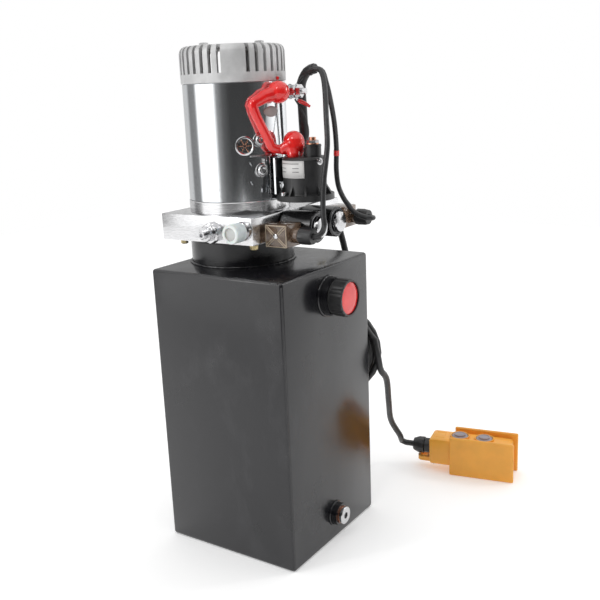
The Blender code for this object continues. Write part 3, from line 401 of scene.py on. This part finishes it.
def dress_cad():
    """Every CAD node gets its material, and shading that is smooth but for its real edges."""
    slots = {s["node"]: s["material_slot"] for s in frame["record"]["subparts"]}
    for name, obj in NODES.items():
        mat = M[BY_NODE.get(name, BY_SLOT[slots[name]])]
        obj.data.materials.clear()
        obj.data.materials.append(mat)
        obj.data.polygons.foreach_set("use_smooth", [True] * len(obj.data.polygons))
        weld = obj.modifiers.new("weld", "WELD")
        weld.merge_threshold = 0.00001
        split = obj.modifiers.new("split", "EDGE_SPLIT")
        split.split_angle = math.radians(33)


# ---------------------------------------------------------------- mesh helpers

def place(axis, at=(0, 0, 0), spin=0.0):
    z = Vector(axis).normalized()
    x = Vector((0, 0, 1)).cross(z) if abs(z.z) < 0.9 else Vector((1, 0, 0))
    x = (x - z * x.dot(z)).normalized()
    turn = Matrix((x, z.cross(x), z)).transposed().to_4x4()
    return Matrix.Translation(Vector(at)) @ turn @ Matrix.Rotation(math.radians(spin), 4, "Z")


def piece(name, points, faces, mat, body="unit", slot=None, smooth=35, bevel=0.0):
    """A new piece from points in millimetres: shaded and ridden; its slot is not used."""
    mesh = bpy.data.meshes.new(name)
    mesh.from_pydata([tuple(MM * c for c in p) for p in points], [], faces)
    bm = bmesh.new()
    bm.from_mesh(mesh)
    bmesh.ops.remove_doubles(bm, verts=bm.verts, dist=1e-7)
    bmesh.ops.recalc_face_normals(bm, faces=bm.faces)
    bm.to_mesh(mesh)
    bm.free()
    obj = bpy.data.objects.new(name, mesh)
    bpy.context.scene.collection.objects.link(obj)
    mesh.materials.append(M[mat] if isinstance(mat, str) else mat)
    mesh.shade_smooth()
    mesh.set_sharp_from_angle(angle=math.radians(smooth))
    if bevel:
        mod = obj.modifiers.new("edges", "BEVEL")
        mod.width, mod.segments, mod.limit_method = bevel * MM, 2, "ANGLE"
        mod.harden_normals = False
    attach(obj, body)
    return obj


def turned(name, profile, mat, n=32, axis=UP, at=(0, 0, 0), spin=0.0, **more):
    m = place(axis, at, spin)
    points, rings, faces = [], [], []
    for radius, height in profile:
        ring = []
        for i in range(1 if radius == 0 else n):
            a = 2 * math.pi * i / n
            r = radius(a) if callable(radius) else radius
            ring.append(len(points))
            points.append(m @ Vector((r * math.cos(a), r * math.sin(a), height)))
        rings.append(ring)
    closed = len(rings[0]) > 1
    for k in range(len(rings) - (0 if closed else 1)):
        lo, hi = rings[k], rings[(k + 1) % len(rings)]
        for i in range(n):
            j = (i + 1) % n
            if len(lo) == 1:
                faces.append((lo[0], hi[i], hi[j]))
            elif len(hi) == 1:
                faces.append((lo[i], hi[0], lo[j]))
            else:
                faces.append((lo[i], lo[j], hi[j], hi[i]))
    return piece(name, points, faces, mat, **more)


def hexagon(flats, most=None):
    def radius(a):
        local = (a + math.pi / 6) % (math.pi / 3) - math.pi / 6
        r = flats / 2 / math.cos(local)
        return min(r, most) if most else r
    return radius


def block(name, lo, hi, mat, m=None, bevel=0.4, **more):
    m = m or Matrix.Identity(4)
    x, y, z = zip(lo, hi)
    points = [m @ Vector((x[i], y[j], z[k])) for i in (0, 1) for j in (0, 1) for k in (0, 1)]
    faces = [(0, 1, 3, 2), (4, 6, 7, 5), (0, 4, 5, 1), (2, 3, 7, 6), (0, 2, 6, 4), (1, 5, 7, 3)]
    return piece(name, points, faces, mat, bevel=bevel, **more)


def flow(points, step):
    p = [np.array(q, float) for q in points]
    p = [2 * p[0] - p[1]] + p + [2 * p[-1] - p[-2]]
    fine = []
    for i in range(1, len(p) - 2):
        a, b, c, d = p[i - 1 : i + 3]
        for t in np.linspace(0, 1, 24, endpoint=False):
            cubic = (3 * b - a - 3 * c + d) * t**3 + (2 * a - 5 * b + 4 * c - d) * t**2
            fine.append(0.5 * (2 * b + (c - a) * t + cubic))
    fine = np.array(fine + [p[-2]])
    run = np.concatenate([[0], np.cumsum(np.linalg.norm(np.diff(fine, axis=0), axis=1))])
    at = np.linspace(0, run[-1], max(2, int(round(run[-1] / step)) + 1))
    return np.stack([np.interp(at, run, fine[:, k]) for k in range(3)], axis=1)


def tube(name, path, radius, mat, n=12, **more):
    path = np.asarray(path, float)
    count = len(path)
    radii = [radius] * count if np.isscalar(radius) else radius
    tangent = np.gradient(path, axis=0)
    tangent /= np.linalg.norm(tangent, axis=1)[:, None]
    side = np.cross(tangent[0], (0.31, 0.17, 0.93))
    points, faces = [], []
    for k in range(count):
        side = side - tangent[k] * (side @ tangent[k])
        side /= np.linalg.norm(side)
        other = np.cross(tangent[k], side)
        for i in range(n):
            a = 2 * math.pi * i / n
            points.append(path[k] + radii[k] * (side * math.cos(a) + other * math.sin(a)))
    for k in range(count - 1):
        for i in range(n):
            j = (i + 1) % n
            a, b = k * n, (k + 1) * n
            faces.append((a + i, a + j, b + j, b + i))
    faces += [tuple(range(n - 1, -1, -1)), tuple(range((count - 1) * n, count * n))]
    return piece(name, points, faces, mat, smooth=50, **more)


def polar(theta, r, z):
    a = math.radians(theta)
    return (AXIS[0] + r * math.cos(a), AXIS[1] + r * math.sin(a), z)


def radial(theta):
    a = math.radians(theta)
    return (math.cos(a), math.sin(a), 0)


# ---------------------------------------------------------------- pendant cable

# centre, middle radius, pitch and number of turns
COIL = (42, 117.2, 222), 48, 9.8, 7


def coil_path(centre, mid, pitch, turns, per_turn):
    """Points of a flat coil whose turns lie beside and on each other."""
    places = [(-1, 1), (-1, 0), (-1, -1), (0, -1), (0, 0), (0, 1), (1, 1), (1, 0)]
    windows = [4, 4, 3, 2, 2, 1, 0]
    path = []
    for k in range(turns):
        here, after = np.array(places[k], float), np.array(places[k + 1], float)
        for i in range(per_turn):
            f = i / per_turn
            t = min(1.0, max(0.0, f * 5.2 - windows[k]))
            t = t * t * (3 - 2 * t)
            r_off, y_off = here + (after - here) * t
            a = -2 * math.pi * f
            r = mid + r_off * pitch
            path.append((centre[0] + r * math.cos(a), centre[1] + y_off * pitch,
                         centre[2] + r * math.sin(a)))
    return np.array(path)


def pendant_cable():
    coarse = coil_path(*COIL, 12)
    a, b = coarse[0], coarse[-1]
    place_m = Matrix.Translation((152, 264.3, 0)) @ Matrix.Rotation(math.radians(11), 4, "Z")
    at = place_m @ Vector((-33, 0, 34))
    back = place_m.to_3x3() @ Vector((-1, 0, 0))
    base = 403.0
    upper = [
        (13.9, 120.2, 445.8), (13, 128, 444.3), (13, 136, 440.3), (15, 144, 429.3),
        (19, 148.5, base + 8), (27, 149, base - 8), (37, 147, base - 38),
        (45, 145, 335), (56, 143, 303), (67, 141, 273), (73, 138, 249),
        tuple(a + (-3.2, 3.5, 13)), tuple(a + (-0.8, 0.6, 3.2)),
    ]
    step = b - coarse[-2]
    end = np.array(at) + np.array(back) * 31
    lower = [
        tuple(b + step * 0.05), tuple(b + step * 0.35), (101.5, 115.5, 236), (106, 115, 218),
        (107, 119, 200), (105, 140, 179), (89.5, 175, 128.6), (77, 205, 88), (78, 232, 53),
        tuple(end + np.array(back) * 16 + np.array((0, 0, 1.5))),
        tuple(end + np.array(back) * 4),
        tuple(np.array(at) - np.array(back) * 8),
    ]
    one, three = flow(upper, 16), flow(lower, 10)
    fine = coil_path(*COIL, 24)
    keep = len(fine) - 2
    path = np.vstack([one[:-1], fine[:keep + 1], three[1:]])
    obj = tube("pendant_cable", path, 4.5, "jacket", 14, slot="cable_jacket")
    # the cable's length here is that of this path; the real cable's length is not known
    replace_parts(obj, "pendant_cable_upper", "pendant_coil", "pendant_cable_lower")


# ---------------------------------------------------------------- motor

BASE, TOP, TUBE = 403.0, 638.3, 64.4
TERMINAL_Z, STRAP = 580.3, 72.0


def arc_sheet(name, t0, t1, z0, z1, r, mat, steps=18, inset=None, **more):
    """A thin sheet on the motor's outside. inset narrows its height by angle, from 0 to 1."""
    points, faces = [], []
    for i in range(steps + 1):
        f = i / steps
        mid, half = (z0 + z1) / 2, (z1 - z0) / 2 * (inset(f) if inset else 1)
        for k in range(5):
            points.append(polar(t0 + (t1 - t0) * f, r, mid + half * (k / 2 - 1)))
    for i in range(steps):
        for k in range(4):
            a = i * 5 + k
            faces.append((a, a + 1, a + 6, a + 5))
    obj = piece(name, points, faces, mat, **more)
    mod = obj.modifiers.new("thick", "SOLIDIFY")
    mod.thickness, mod.offset = 0.5 * MM, -1
    return obj


def motor():
    axis = (*AXIS, 0)
    profile = [(60.4, 451.8), (63.9, 451.8), (TUBE, 452.3), (TUBE, 593.3), (63.9, 593.8),
               (60.4, 593.8)]
    obj = turned("motor_barrel", profile, "tube", 192, at=axis, slot="bright_steel")
    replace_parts(obj, "motor_tube")
    profile = [(8.6, 436.8), (65.1, 436.8), (65.1, 450.7), (64.3, 451.5), (8.6, 451.5)]
    obj = turned("motor_base_ring", profile, "flange", 160, at=axis, slot="aluminium")
    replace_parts(obj, "motor_flange")
    steel = dict(slot="bright_steel")
    for name, theta, z, out in (("frame_screw_upper", -27.5, 525, 0.0),
                                ("frame_screw_lower", -27.1, 489, 1.9)):
        r = TUBE + out
        key = hexagon(5)
        profile = [(0, r + 1.6), (key, r + 1.6), (key, r + 4.3), (3.6, r + 4.6), (5.2, r + 4.2),
                   (6.1, r + 2.8), (6.3, r - 0.6), (0, r - 0.6)]
        turned(name, profile, "plated", 36, radial(theta), (*AXIS, z), **steel)
        washer = [(6.0, r - 1), (8.4, r - 1), (8.6, r + 0.2), (8.2, r + 0.8), (6.0, r + 0.9)]
        turned(name + "_washer", washer, "plated", 36, radial(theta), (*AXIS, z), **steel)
    vent = dict(axis=radial(-44.3), at=(*AXIS, 519))
    ring_p = [(9.0, 62.6), (11.4, 62.6), (11.7, 65.0), (11.0, 66.1), (10.0, 66.3), (9.0, 65.4)]
    turned("vent_ring", ring_p, "plated", 48, **vent, **steel)
    grille = [(0, 65.1), (1.8, 65.1), (2.0, 64.2), (3.0, 64.2), (3.2, 65.0), (4.4, 65.0),
              (4.6, 64.1), (5.6, 64.1), (5.8, 64.9), (7.0, 64.9), (7.2, 64.0), (9.05, 64.0),
              (9.05, 62.8), (0, 62.8)]
    turned("vent_grille", grille, "black", 40, **vent, slot="black_plastic")
    # painted highlight: the copper colour of these six ribs stands in for the red-brown gleam on the
    # dark grille
    for k in range(6):
        a = 60 * k
        m = place(radial(-44.3), (*AXIS, 519), a)
        block(f"vent_rib_highlight_{k}", (1.5, -0.55, 64.0), (8.6, 0.55, 65.2), "copper", m, 0.15,
              slot="copper")
    def oval(f):
        return max(0.02, math.sin(math.pi * (0.01 + 0.98 * f)) ** 0.5)

    arc_sheet("blank_sticker", -20.6, 0.8, 551.5, 564.5, TUBE + 0.25, "sticker", inset=oval,
              slot="white_plastic")
    arc_sheet("band_lower_edge", -39, -13, 505.6, 507.2, TUBE + 0.6, "plated", slot="bright_steel")
    # the flat plate beside the relay stands at x 39.9 to 42.3, tangent to the motor
    # painted shade: black blocks in the plate's slots stand for the shade inside the openings
    for k, z in enumerate((496.0, 480.0)):
        for n, w in enumerate((5.0, 2.2)):
            at = Matrix.Translation((39.85, -14.6, z - 2.6 * n))
            block(f"bracket_slot_shade_{k}_{n}", (-0.35, -w / 2, -1.4), (0.3, w / 2, 1.4), "black", at,
                  0.25, slot="black_plastic")
    arc_sheet("bracket_fold", -17.6, -16.4, 452, 505, TUBE + 2.3, "plated", 4, slot="bright_steel")
    # painted shade: a black sheet beside the bracket's fold stands for the shade in the gap along its
    # edge
    arc_sheet("bracket_seam_shade", -19.0, -17.6, 471, 505.6, TUBE + 2.05, "black", 4,
              slot="black_plastic")
    block("band_tag", (-2, -2, -1), (2, 2, 1.2), "red",
          Matrix.Translation(Vector(polar(1.5, TUBE + 1.6, 596.8)))
          @ place(radial(1.5)), 0.5, slot="red_vinyl")


# ---------------------------------------------------------------- soft red covers

def blob(name, parts, mat, voxel=0.9, smooth=3, **more):
    """One smooth form from tapered round-ended bars: (from, to, radius, radius)."""
    points, faces = [], []
    for p, q, r0, r1 in parts:
        p, q = np.array(p, float), np.array(q, float)
        way = (q - p) / max(1e-6, np.linalg.norm(q - p))
        side = np.cross(way, (0.31, 0.17, 0.93))
        side /= np.linalg.norm(side)
        other = np.cross(way, side)
        rows = [(p + way * r0 * math.sin(a), r0 * math.cos(a)) for a in np.linspace(-1.5, 0, 6)]
        rows += [(q + way * r1 * math.sin(a), r1 * math.cos(a)) for a in np.linspace(0, 1.5, 6)]
        base, n = len(points), 20
        for centre, r in rows:
            for i in range(n):
                a = 2 * math.pi * i / n
                points.append(centre + r * (side * math.cos(a) + other * math.sin(a)))
        for k in range(len(rows) - 1):
            for i in range(n):
                j = (i + 1) % n
                a, b = base + k * n, base + (k + 1) * n
                faces.append((a + i, a + j, b + j, b + i))
        end = base + (len(rows) - 1) * n
        faces += [tuple(range(base + n - 1, base - 1, -1)), tuple(range(end, end + n))]
    obj = piece(name, points, faces, mat, smooth=180, **more)
    mod = obj.modifiers.new("one", "REMESH")
    mod.mode, mod.voxel_size, mod.use_smooth_shade = "VOXEL", voxel * MM, True
    mod = obj.modifiers.new("soft", "SMOOTH")
    mod.factor, mod.iterations = 0.5, smooth
    return obj


def red_covers():
    red = dict(slot="red_vinyl")
    top = TERMINAL_Z
    parts = [
        (polar(-7, TUBE + 9.0, top), polar(-7, TUBE + 10.5, top), 13.6, 13.6),
        (polar(-10, STRAP + 1, top - 1.0), polar(-22, STRAP, top - 4), 9.6, 8.2),
        (polar(-22, STRAP, top - 4), polar(-34.5, STRAP, top - 12.0), 8.2, 6.4),
        (polar(-34.0, STRAP, top - 11.0), polar(-38.6, STRAP, top - 14.0), 5.6, 2.6),
    ]
    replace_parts(blob("red_boot_terminal", parts, "red", **red), "red_boot_upper")
    collar = [(6.0, TUBE + 1.0), (9.4, TUBE + 1.0), (10.2, TUBE + 2.4), (9.4, TUBE + 4.2),
              (6.0, TUBE + 4.2)]
    turned("red_boot_terminal_lip", collar, "red", 40, radial(-7), (*AXIS, top), **red)
    x, y, z = 54.7, 4.4, 503.5
    parts = [
        ((x, y, z + 13.0), (x, y, z + 17.4), 14.4, 13.4),
        ((x, y, z + 5.5), (x + 0.5, y, z + 12.0), 11.6, 14.0),
        ((x - 1, y - 7, z + 13.5), (x - 8.0, y - 11.0, z + 9.6), 9.0, 7.0),
        ((x + 2, y - 6, z + 9.0), (x + 5.0, y - 9.0, z + 2.5), 9.2, 7.4),
    ]
    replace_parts(blob("red_boot_relay", parts, "red", **red), "red_boot_lower")
    low = z + 9.5
    way = [
        polar(-30.5, STRAP + 0.2, top - 7.5), polar(-34.6, STRAP + 0.6, top - 11.5),
        polar(-34.6, STRAP + 0.4, top - 18), polar(-31.2, STRAP + 0.2, top - 29),
        polar(-26, STRAP, top - 42), polar(-20.5, STRAP, top - 56),
        polar(-17, STRAP + 0.6, low + 3), (x - 12.4, y - 14.6, low), (x - 8.8, y - 10.4, low + 0.6),
    ]
    path = flow(way, 2.5)
    radii = [5.7 + 0.45 * math.sin(i * 0.35) * math.exp(-i / 14) for i in range(len(path))]
    obj = tube("red_strap_sleeve", path, radii, "red", 22, **red)
    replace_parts(obj, "red_strap")


# ---------------------------------------------------------------- leads

def leads():
    soft = dict(slot="cable_jacket")
    front, rear = (76.2, -34.9, 413.3), (85.2, 84.0, 419.3)
    top = TOP - 33
    peak = (62, 40, top)
    way = [
        (front[0] + 24, front[1], front[2]), (front[0] + 30, front[1], front[2]),
        (front[0] + 36, front[1] + 4, front[2] + 3.5),
        (front[0] + 35.5, front[1] + 12, front[2] + 11), (110.6, -22.4, BASE + 36),
        (109.5, -20, BASE + 54), (109.6, -16.6, BASE + 76), (110, -11.4, BASE + 97),
        (108.8, -5, BASE + 118), (101.5, 6, BASE + 149), (92.4, 20, BASE + 175),
        (84, 30.5, top - 10), (76.5, 35.6, top - 1), (peak[0] + 5.6, 36.4, top + 0.8),
        (peak[0] + 1, 37.6, top + 0.4),
    ]
    obj = tube("valve_cable_front", flow(way, 3.5), 3.3, "jacket", 16, **soft)
    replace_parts(obj, "valve_lead_front")
    way = [
        (rear[0] + 24, rear[1] - 0.2, rear[2]), (rear[0] + 29, rear[1] - 0.4, rear[2]),
        (rear[0] + 36.5, rear[1] - 4.5, rear[2] + 0.4),
        (rear[0] + 36, rear[1] - 12.5, rear[2] + 1.2), (rear[0] + 24, rear[1] - 15, rear[2] + 4),
        (rear[0] + 12, rear[1] - 14, rear[2] + 9.5), (rear[0] + 4.2, rear[1] - 11.5, rear[2] + 16.8),
        (80.4, 76, BASE + 41), (71.5, 79, BASE + 56), (68.5, 80, BASE + 77),
        (71, 77.5, BASE + 105), (76, 66, BASE + 137), (79, 52, BASE + 169), (78.5, 44.6, top - 14),
        (75, 43.8, top - 3), (peak[0] + 5.6, 43.6, top + 0.8), (peak[0] + 1, 42.4, top + 0.4),
    ]
    path = flow(way, 3.5)
    obj = tube("valve_cable_rear", path, 3.3, "jacket", 16, **soft)
    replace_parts(obj, "valve_lead_rear")
    sleeve = [q for q in path if 497 < q[2] < 508 and q[1] > 60]
    tube("red_marker_sleeve", sleeve, 3.75, "red", 16, slot="red_vinyl")
    way = [
        (peak[0] + 5.5, 40, top + 0.9), (peak[0] + 2.8, 40, top + 0.8), (peak[0] - 2, 40, top),
        (53, 40, top - 4), (44.5, 41.5, top - 18), (42, 46, top - 44), (41, 49, top - 76),
        (39.5, 54, top - 100), (35, 66, top - 125), (28, 84, top - 144), (20, 101, top - 154),
        (15, 114, top - 158.6), (14, 119, top - 159.4),
    ]
    obj = tube("harness_sleeving", flow(way, 3.5), 5.9, "jacket", 18, **soft)
    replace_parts(obj, "harness_sheath")
    wrap = [(65.5, 40, top + 1.0), (61.5, 40, top + 0.4), (57.5, 40, top - 1.6)]
    tube("tape_wrap", flow(wrap, 2), 6.4, "black", 18, slot="black_plastic")
    thin = [(47, 22.5, 571), (50, 25.5, 564), (56, 27.5, 552), (62, 26, 538), (66, 20, 527),
            (67.5, 13, 520.5), (68, 8, 517.5)]
    tube("ground_wire", flow(thin, 3), 1.15, "jacket", 10, **soft)
    crimp = [(49, 26, 569.5), (53, 33, 566), (57, 40, 561.5)]
    way = flow(crimp, 1.5)
    radii = [1.9, 2.4, 2.7, 2.7, 2.6, 2.6, 2.5, 2.5, 2.4, 2.2, 2.0, 1.8] + [1.8] * len(way)
    tube("red_crimp", way, radii[:len(way)], "red", 14, slot="red_vinyl")
    strand = [(58, 40.5, top - 0.5), (50, 34, top - 10), (46, 28, top - 20), (47.5, 24, top - 29)]
    tube("terminal_wire", flow(strand, 3), 1.9, "jacket", 10, **soft)
    turned("terminal_tip", [(0, 96.2), (2.9, 96.2), (3.3, 95.6), (3.3, 91.2), (0, 91.2)], "zinc", 20,
           radial(12), (*AXIS, TERMINAL_Z), slot="bright_steel")


# ---------------------------------------------------------------- relay

def relay():
    cx, cy, r = 69.2, 4.4, 26.6
    z0, z1, tower = 451.8, 503.5, 518.0

    def sheet(name, t0, t1, low, high, out, mat, slot):
        points, faces = [], []
        for i in range(17):
            a = math.radians(t0 + (t1 - t0) * i / 16)
            for z in (low, high):
                points.append((cx + (r + out) * math.cos(a), cy + (r + out) * math.sin(a), z))
        for i in range(16):
            faces.append((2 * i, 2 * i + 1, 2 * i + 3, 2 * i + 2))
        obj = piece(name, points, faces, mat, slot=slot)
        mod = obj.modifiers.new("thick", "SOLIDIFY")
        mod.thickness, mod.offset = 0.35 * MM, -1

    sheet("relay_label", -146, -58, 479.5, 500.6, 0.4, "label", "white_plastic")
    for k, (z, a, b) in enumerate(((496.4, -136, -72), (491.0, -136, -112), (491.0, -90, -72),
                                   (486.6, -136, -112), (486.6, -90, -72))):
        sheet(f"relay_label_rule_{k}", a, b, z, z + 0.8, 0.55, "label_line", "black_plastic")
    for k, a in enumerate((-112, 68)):
        t = math.radians(a)
        at = (cx + 31.4 * math.cos(t), cy + 31.4 * math.sin(t), z0 + 7.0)
        key = hexagon(4)
        profile = [(0, 1.4), (key, 1.4), (key, 4.0), (3.4, 4.3), (4.3, 3.6), (4.3, 0.2), (0, 0.2)]
        turned(f"relay_screw_{k}", profile, "plated", 24, at=at, slot="bright_steel")
    groove = [(r - 0.4, z1 - 3.2), (r + 0.5, z1 - 3.2), (r + 0.7, z1 - 2.4), (r + 0.2, z1 - 1.4),
              (r - 0.6, z1 - 1.0)]
    turned("relay_top_bead", groove, "black", 96, at=(cx, cy, 0), slot="black_plastic")
    for k, (dx, dy) in enumerate(((-14.5, 0), (13.0, 0))):
        at = (cx + dx, cy + dy, 0)
        lip = [(8.2, tower - 0.3), (10.3, tower - 0.6), (10.5, tower - 2.4), (9.8, tower - 3.0),
               (8.0, tower - 3.0)]
        turned(f"relay_tower_lip_{k}", lip, "black", 48, at=at, slot="black_plastic")
    x, y = cx + 13.0, cy
    for k, a in enumerate((-20, 100, 220)):
        m = Matrix.Translation((x, y, 0)) @ Matrix.Rotation(math.radians(a), 4, "Z")
        block(f"relay_tower_rib_{k}", (9.4, -1.2, z1 - 0.5), (11.4, 1.2, tower - 3.4), "black", m,
              0.4, slot="black_plastic")
    cap = hexagon(12.8)
    nut = [(4.4, tower + 1.5), (cap, tower + 1.5), (cap, tower + 4.6), (5.4, tower + 5.2),
           (4.4, tower + 5.2)]
    turned("relay_nut_right", nut, "steel", 36, at=(x, y, 0), slot="steel")
    for k, (dx, dy) in enumerate(((23.4, -7.4), (-10, 21))):
        post = [(0, -3), (2.6, -3), (2.6, 1.6), (4.2, 1.7), (4.2, 5.0), (2.6, 5.4), (2.6, 7.2),
                (0, 7.4)]
        turned(f"relay_side_post_{k}", post, "plated", 24, (dx, dy, 0),
               (cx + dx, cy + dy, z1 - 5), slot="bright_steel")


# ---------------------------------------------------------------- block and valves

def block_details():
    for k, (x, y) in enumerate(((-78.7, -57), (34, -60), (-80, 112), (26, 116))):
        flats = hexagon(8.5)
        profile = [(0, 402.8), (5.6, 402.8), (5.6, 401.6), (flats, 401.5), (flats, 397.8),
                   (3.6, 397.0), (0, 397.0)]
        turned(f"block_bolt_{k}", profile, "zinc", 24, at=(x, y, 0), slot="bright_steel")
    turned("port_cap_disc", [(0, 24.0), (7.9, 24.0), (7.9, 25.0), (7.2, 25.6), (6.4, 25.2),
                             (4.0, 25.6), (0, 25.9)], "clear", 40, FRONT, (27.0, -69, 421),
           body="port_plug", slot="white_plastic")
    for end, y, sign, out, lift in (("front", 2.0, -1, 0.0, 0.0), ("rear", 47.0, 1, 9.0, 6.0)):
        x0, x1 = 39.6 + 5 + out, 39.6 + 36.6 + out
        z0, z1 = 418 - 18.6 + lift, 418 + 9.2 + lift
        face = y + sign * (19.4 + 33.6)
        cx, cz = (x0 + x1) / 2, (z0 + z1) / 2
        wide, tall = (x1 - x0) / 2 - 1.6, (z1 - z0) / 2 - 1.6
        # pairs of ribs run from near the screw to each corner, in the plane of the face; their pale
        # colour is a painted highlight
        for k, (sx, sz) in enumerate(((1, 1), (1, -1), (-1, 1), (-1, -1))):
            for off in (-1.1, 1.1):
                a = Vector((sx * 3.2, 0, sz * 2.8))
                b = Vector((sx * wide, 0, sz * tall))
                way = (b - a).normalized()
                side = Vector((-way.z, 0, way.x)) * off
                path = [(cx + (a + side).x, face - sign * 0.2, cz + (a + side).z),
                        (cx + ((a + b) / 2 + side).x, face + sign * 0.15, cz + ((a + b) / 2 + side).z),
                        (cx + (b + side).x, face - sign * 0.2, cz + (b + side).z)]
                tube(f"connector_rib_{end}_{k}_{'a' if off < 0 else 'b'}", path, 0.55, "rib", 8,
                     slot="smoke_plastic")
        # pale tubes along the border of the face: painted highlights on the clear moulding's edges
        a, b, c, d = x0 + 1.2, x1 - 1.2, z0 + 1.2, z1 - 1.2
        for k, ((ax, az), (bx, bz)) in enumerate((((a, c), (b, c)), ((b, c), (b, d)),
                                                  ((b, d), (a, d)), ((a, d), (a, c)))):
            path = [(ax + (bx - ax) * f, face - sign * 0.55, az + (bz - az) * f)
                    for f in np.linspace(0, 1, 8)]
            tube(f"connector_edge_{end}_{k}", path, 0.6, "rib", 8, slot="smoke_plastic")
        g = (x1, y + sign * (19.4 + 17.1) + sign * 0.5, (z0 + z1) / 2)
        shine = [(8.6, 1.2), (9.1, 1.6), (9.1, 8.8), (8.6, 9.4)]
        turned(f"connector_collar_{end}", shine, "smoke", 48, RIGHT, g, slot="smoke_plastic")
        screw = [(0, 0.9), (2.2, 0.9), (3.1, 0.5), (3.2, -0.8), (0, -0.8)]
        turned(f"connector_screw_{end}", screw, "plated", 24, (0, sign, 0), (cx, face, cz),
               slot="bright_steel")
        at = (39.6, y, 418)
        ring_p = [(15.2, 47.0), (17.8, 47.0), (18.0, 47.7), (17.4, 48.6), (15.6, 48.6), (15.2, 48.0)]
        turned(f"coil_face_ring_{end}", ring_p, "coil_grey", 64, RIGHT, at, slot="black_plastic")


# ---------------------------------------------------------------- tank

def bead(name, path, radius, wobble, mat="powder_black", n=10, **more):
    """A weld bead: a bumpy bar with the ripple of each pass."""
    path = np.asarray(path, float)
    radii = [radius * (1 + wobble * (0.6 * math.sin(i * 1.7) + 0.4 * math.sin(i * 0.61 + 1.3)))
             for i in range(len(path))]
    return tube(name, path, radii, mat, n, slot="powder_black", **more)


def circle(centre, r, axis, n=90):
    m = place(axis, centre)
    return [m @ Vector((r * math.cos(t), r * math.sin(t), 0))
            for t in np.linspace(0, 2 * math.pi, n + 1)]


def tank_details():
    bead("weld_neck", circle((*AXIS, 370.9), 68.0, UP, 150), 1.7, 0.22)
    bead("weld_neck_top", circle((*AXIS, 401.4), 67.0, UP, 120), 1.0, 0.12)
    bead("weld_filler", circle((100.9, 0, 333), 25.0, RIGHT, 80), 1.5, 0.2)
    bead("weld_drain", circle((100.8, 0, 36), 15.6, RIGHT, 60), 1.3, 0.2)
    front = [(x, -98.5, 368.5) for x in np.arange(-95, 95.1, 2.2)]
    bead("weld_top_front", front, 1.35, 0.16)
    side = [(98.5, y, 368.5) for y in np.arange(-95, 95.1, 2.4)]
    bead("weld_top_right", side, 1.2, 0.12)
    corner = [(98.6, -98.6, z) for z in np.arange(5, 366, 3.0)]
    bead("corner_seam", corner, 1.15, 0.10)
    face = 129.4
    profile = [(0, face + 1.5), (12, face + 1.45), (18.6, face + 1.1), (20.2, face + 0.6),
               (20.35, face - 0.4), (0, face - 0.1)]
    turned("filler_red_disc", profile, "red_gloss", 72, RIGHT, (0, 0, 333), body="filler_lid",
           slot="red_vinyl")


# ---------------------------------------------------------------- pendant

def pendant_details():
    m = Matrix.Translation((152, 264.3, 0)) @ Matrix.Rotation(math.radians(11), 4, "Z")
    z = 54.5
    for name, u, body in (("raise", 11.5, "raise_key"), ("lower", 48.5, "lower_key")):
        at = m @ Vector((u, 0, 0))
        profile = [(0, z + 4.9), (6.6, z + 4.6), (7.2, z + 5.3), (8.4, z + 5.1), (8.8, z + 3.2),
                   (0, z + 3.0)]
        turned(f"button_cap_{name}", profile, "grey", 48, at=at, body=body, slot="grey_rubber")
        bezel = [(12.9, z + 2.2), (14.4, z + 2.3), (14.5, z + 2.9), (13.9, z + 3.3),
                 (13.0, z + 2.9)]
        turned(f"button_bezel_{name}", bezel, "yellow", 64, at=at, slot="yellow_plastic")
    frame_p = [(-25, -10), (-11, -10), (-11, 10), (-25, 10)]
    for k in range(4):
        a, b = frame_p[k], frame_p[(k + 1) % 4]
        path = [m @ Vector((a[0] + (b[0] - a[0]) * f, a[1] + (b[1] - a[1]) * f, z - 0.15))
                for f in np.linspace(0, 1, 6)]
        tube(f"pendant_panel_{k}", path, 0.55, "yellow", 8, slot="yellow_plastic")
    for k, (u, v) in enumerate(((-26, -13), (-26, 13), (84, -14), (84, 14))):
        at = m @ Vector((u, v, 11.6))
        turned(f"pendant_screw_{k}", [(0, -0.4), (2.4, -0.4), (3.0, 0.2), (3.0, 1.2), (0, 1.2)],
               "plated", 24, at=at, slot="bright_steel")


camera()
studio()
lamp("soft_left", (-0.59, -1.06, 1.05), (0, 0, 0.5), (0.10, 0.30), 2.2)
lamp("soft_right", (0.90, 0.76, 1.00), (0, 0, 0.5), (0.10, 0.30), 1.6)
lamp("soft_high", (0.25, -0.95, 1.45), (0, 0, 0.5), (0.22, 0.10), 1.4)
floor()
dress_cad()
pendant_cable()
motor()
red_covers()
leads()
relay()
block_details()
tank_details()
pendant_details()
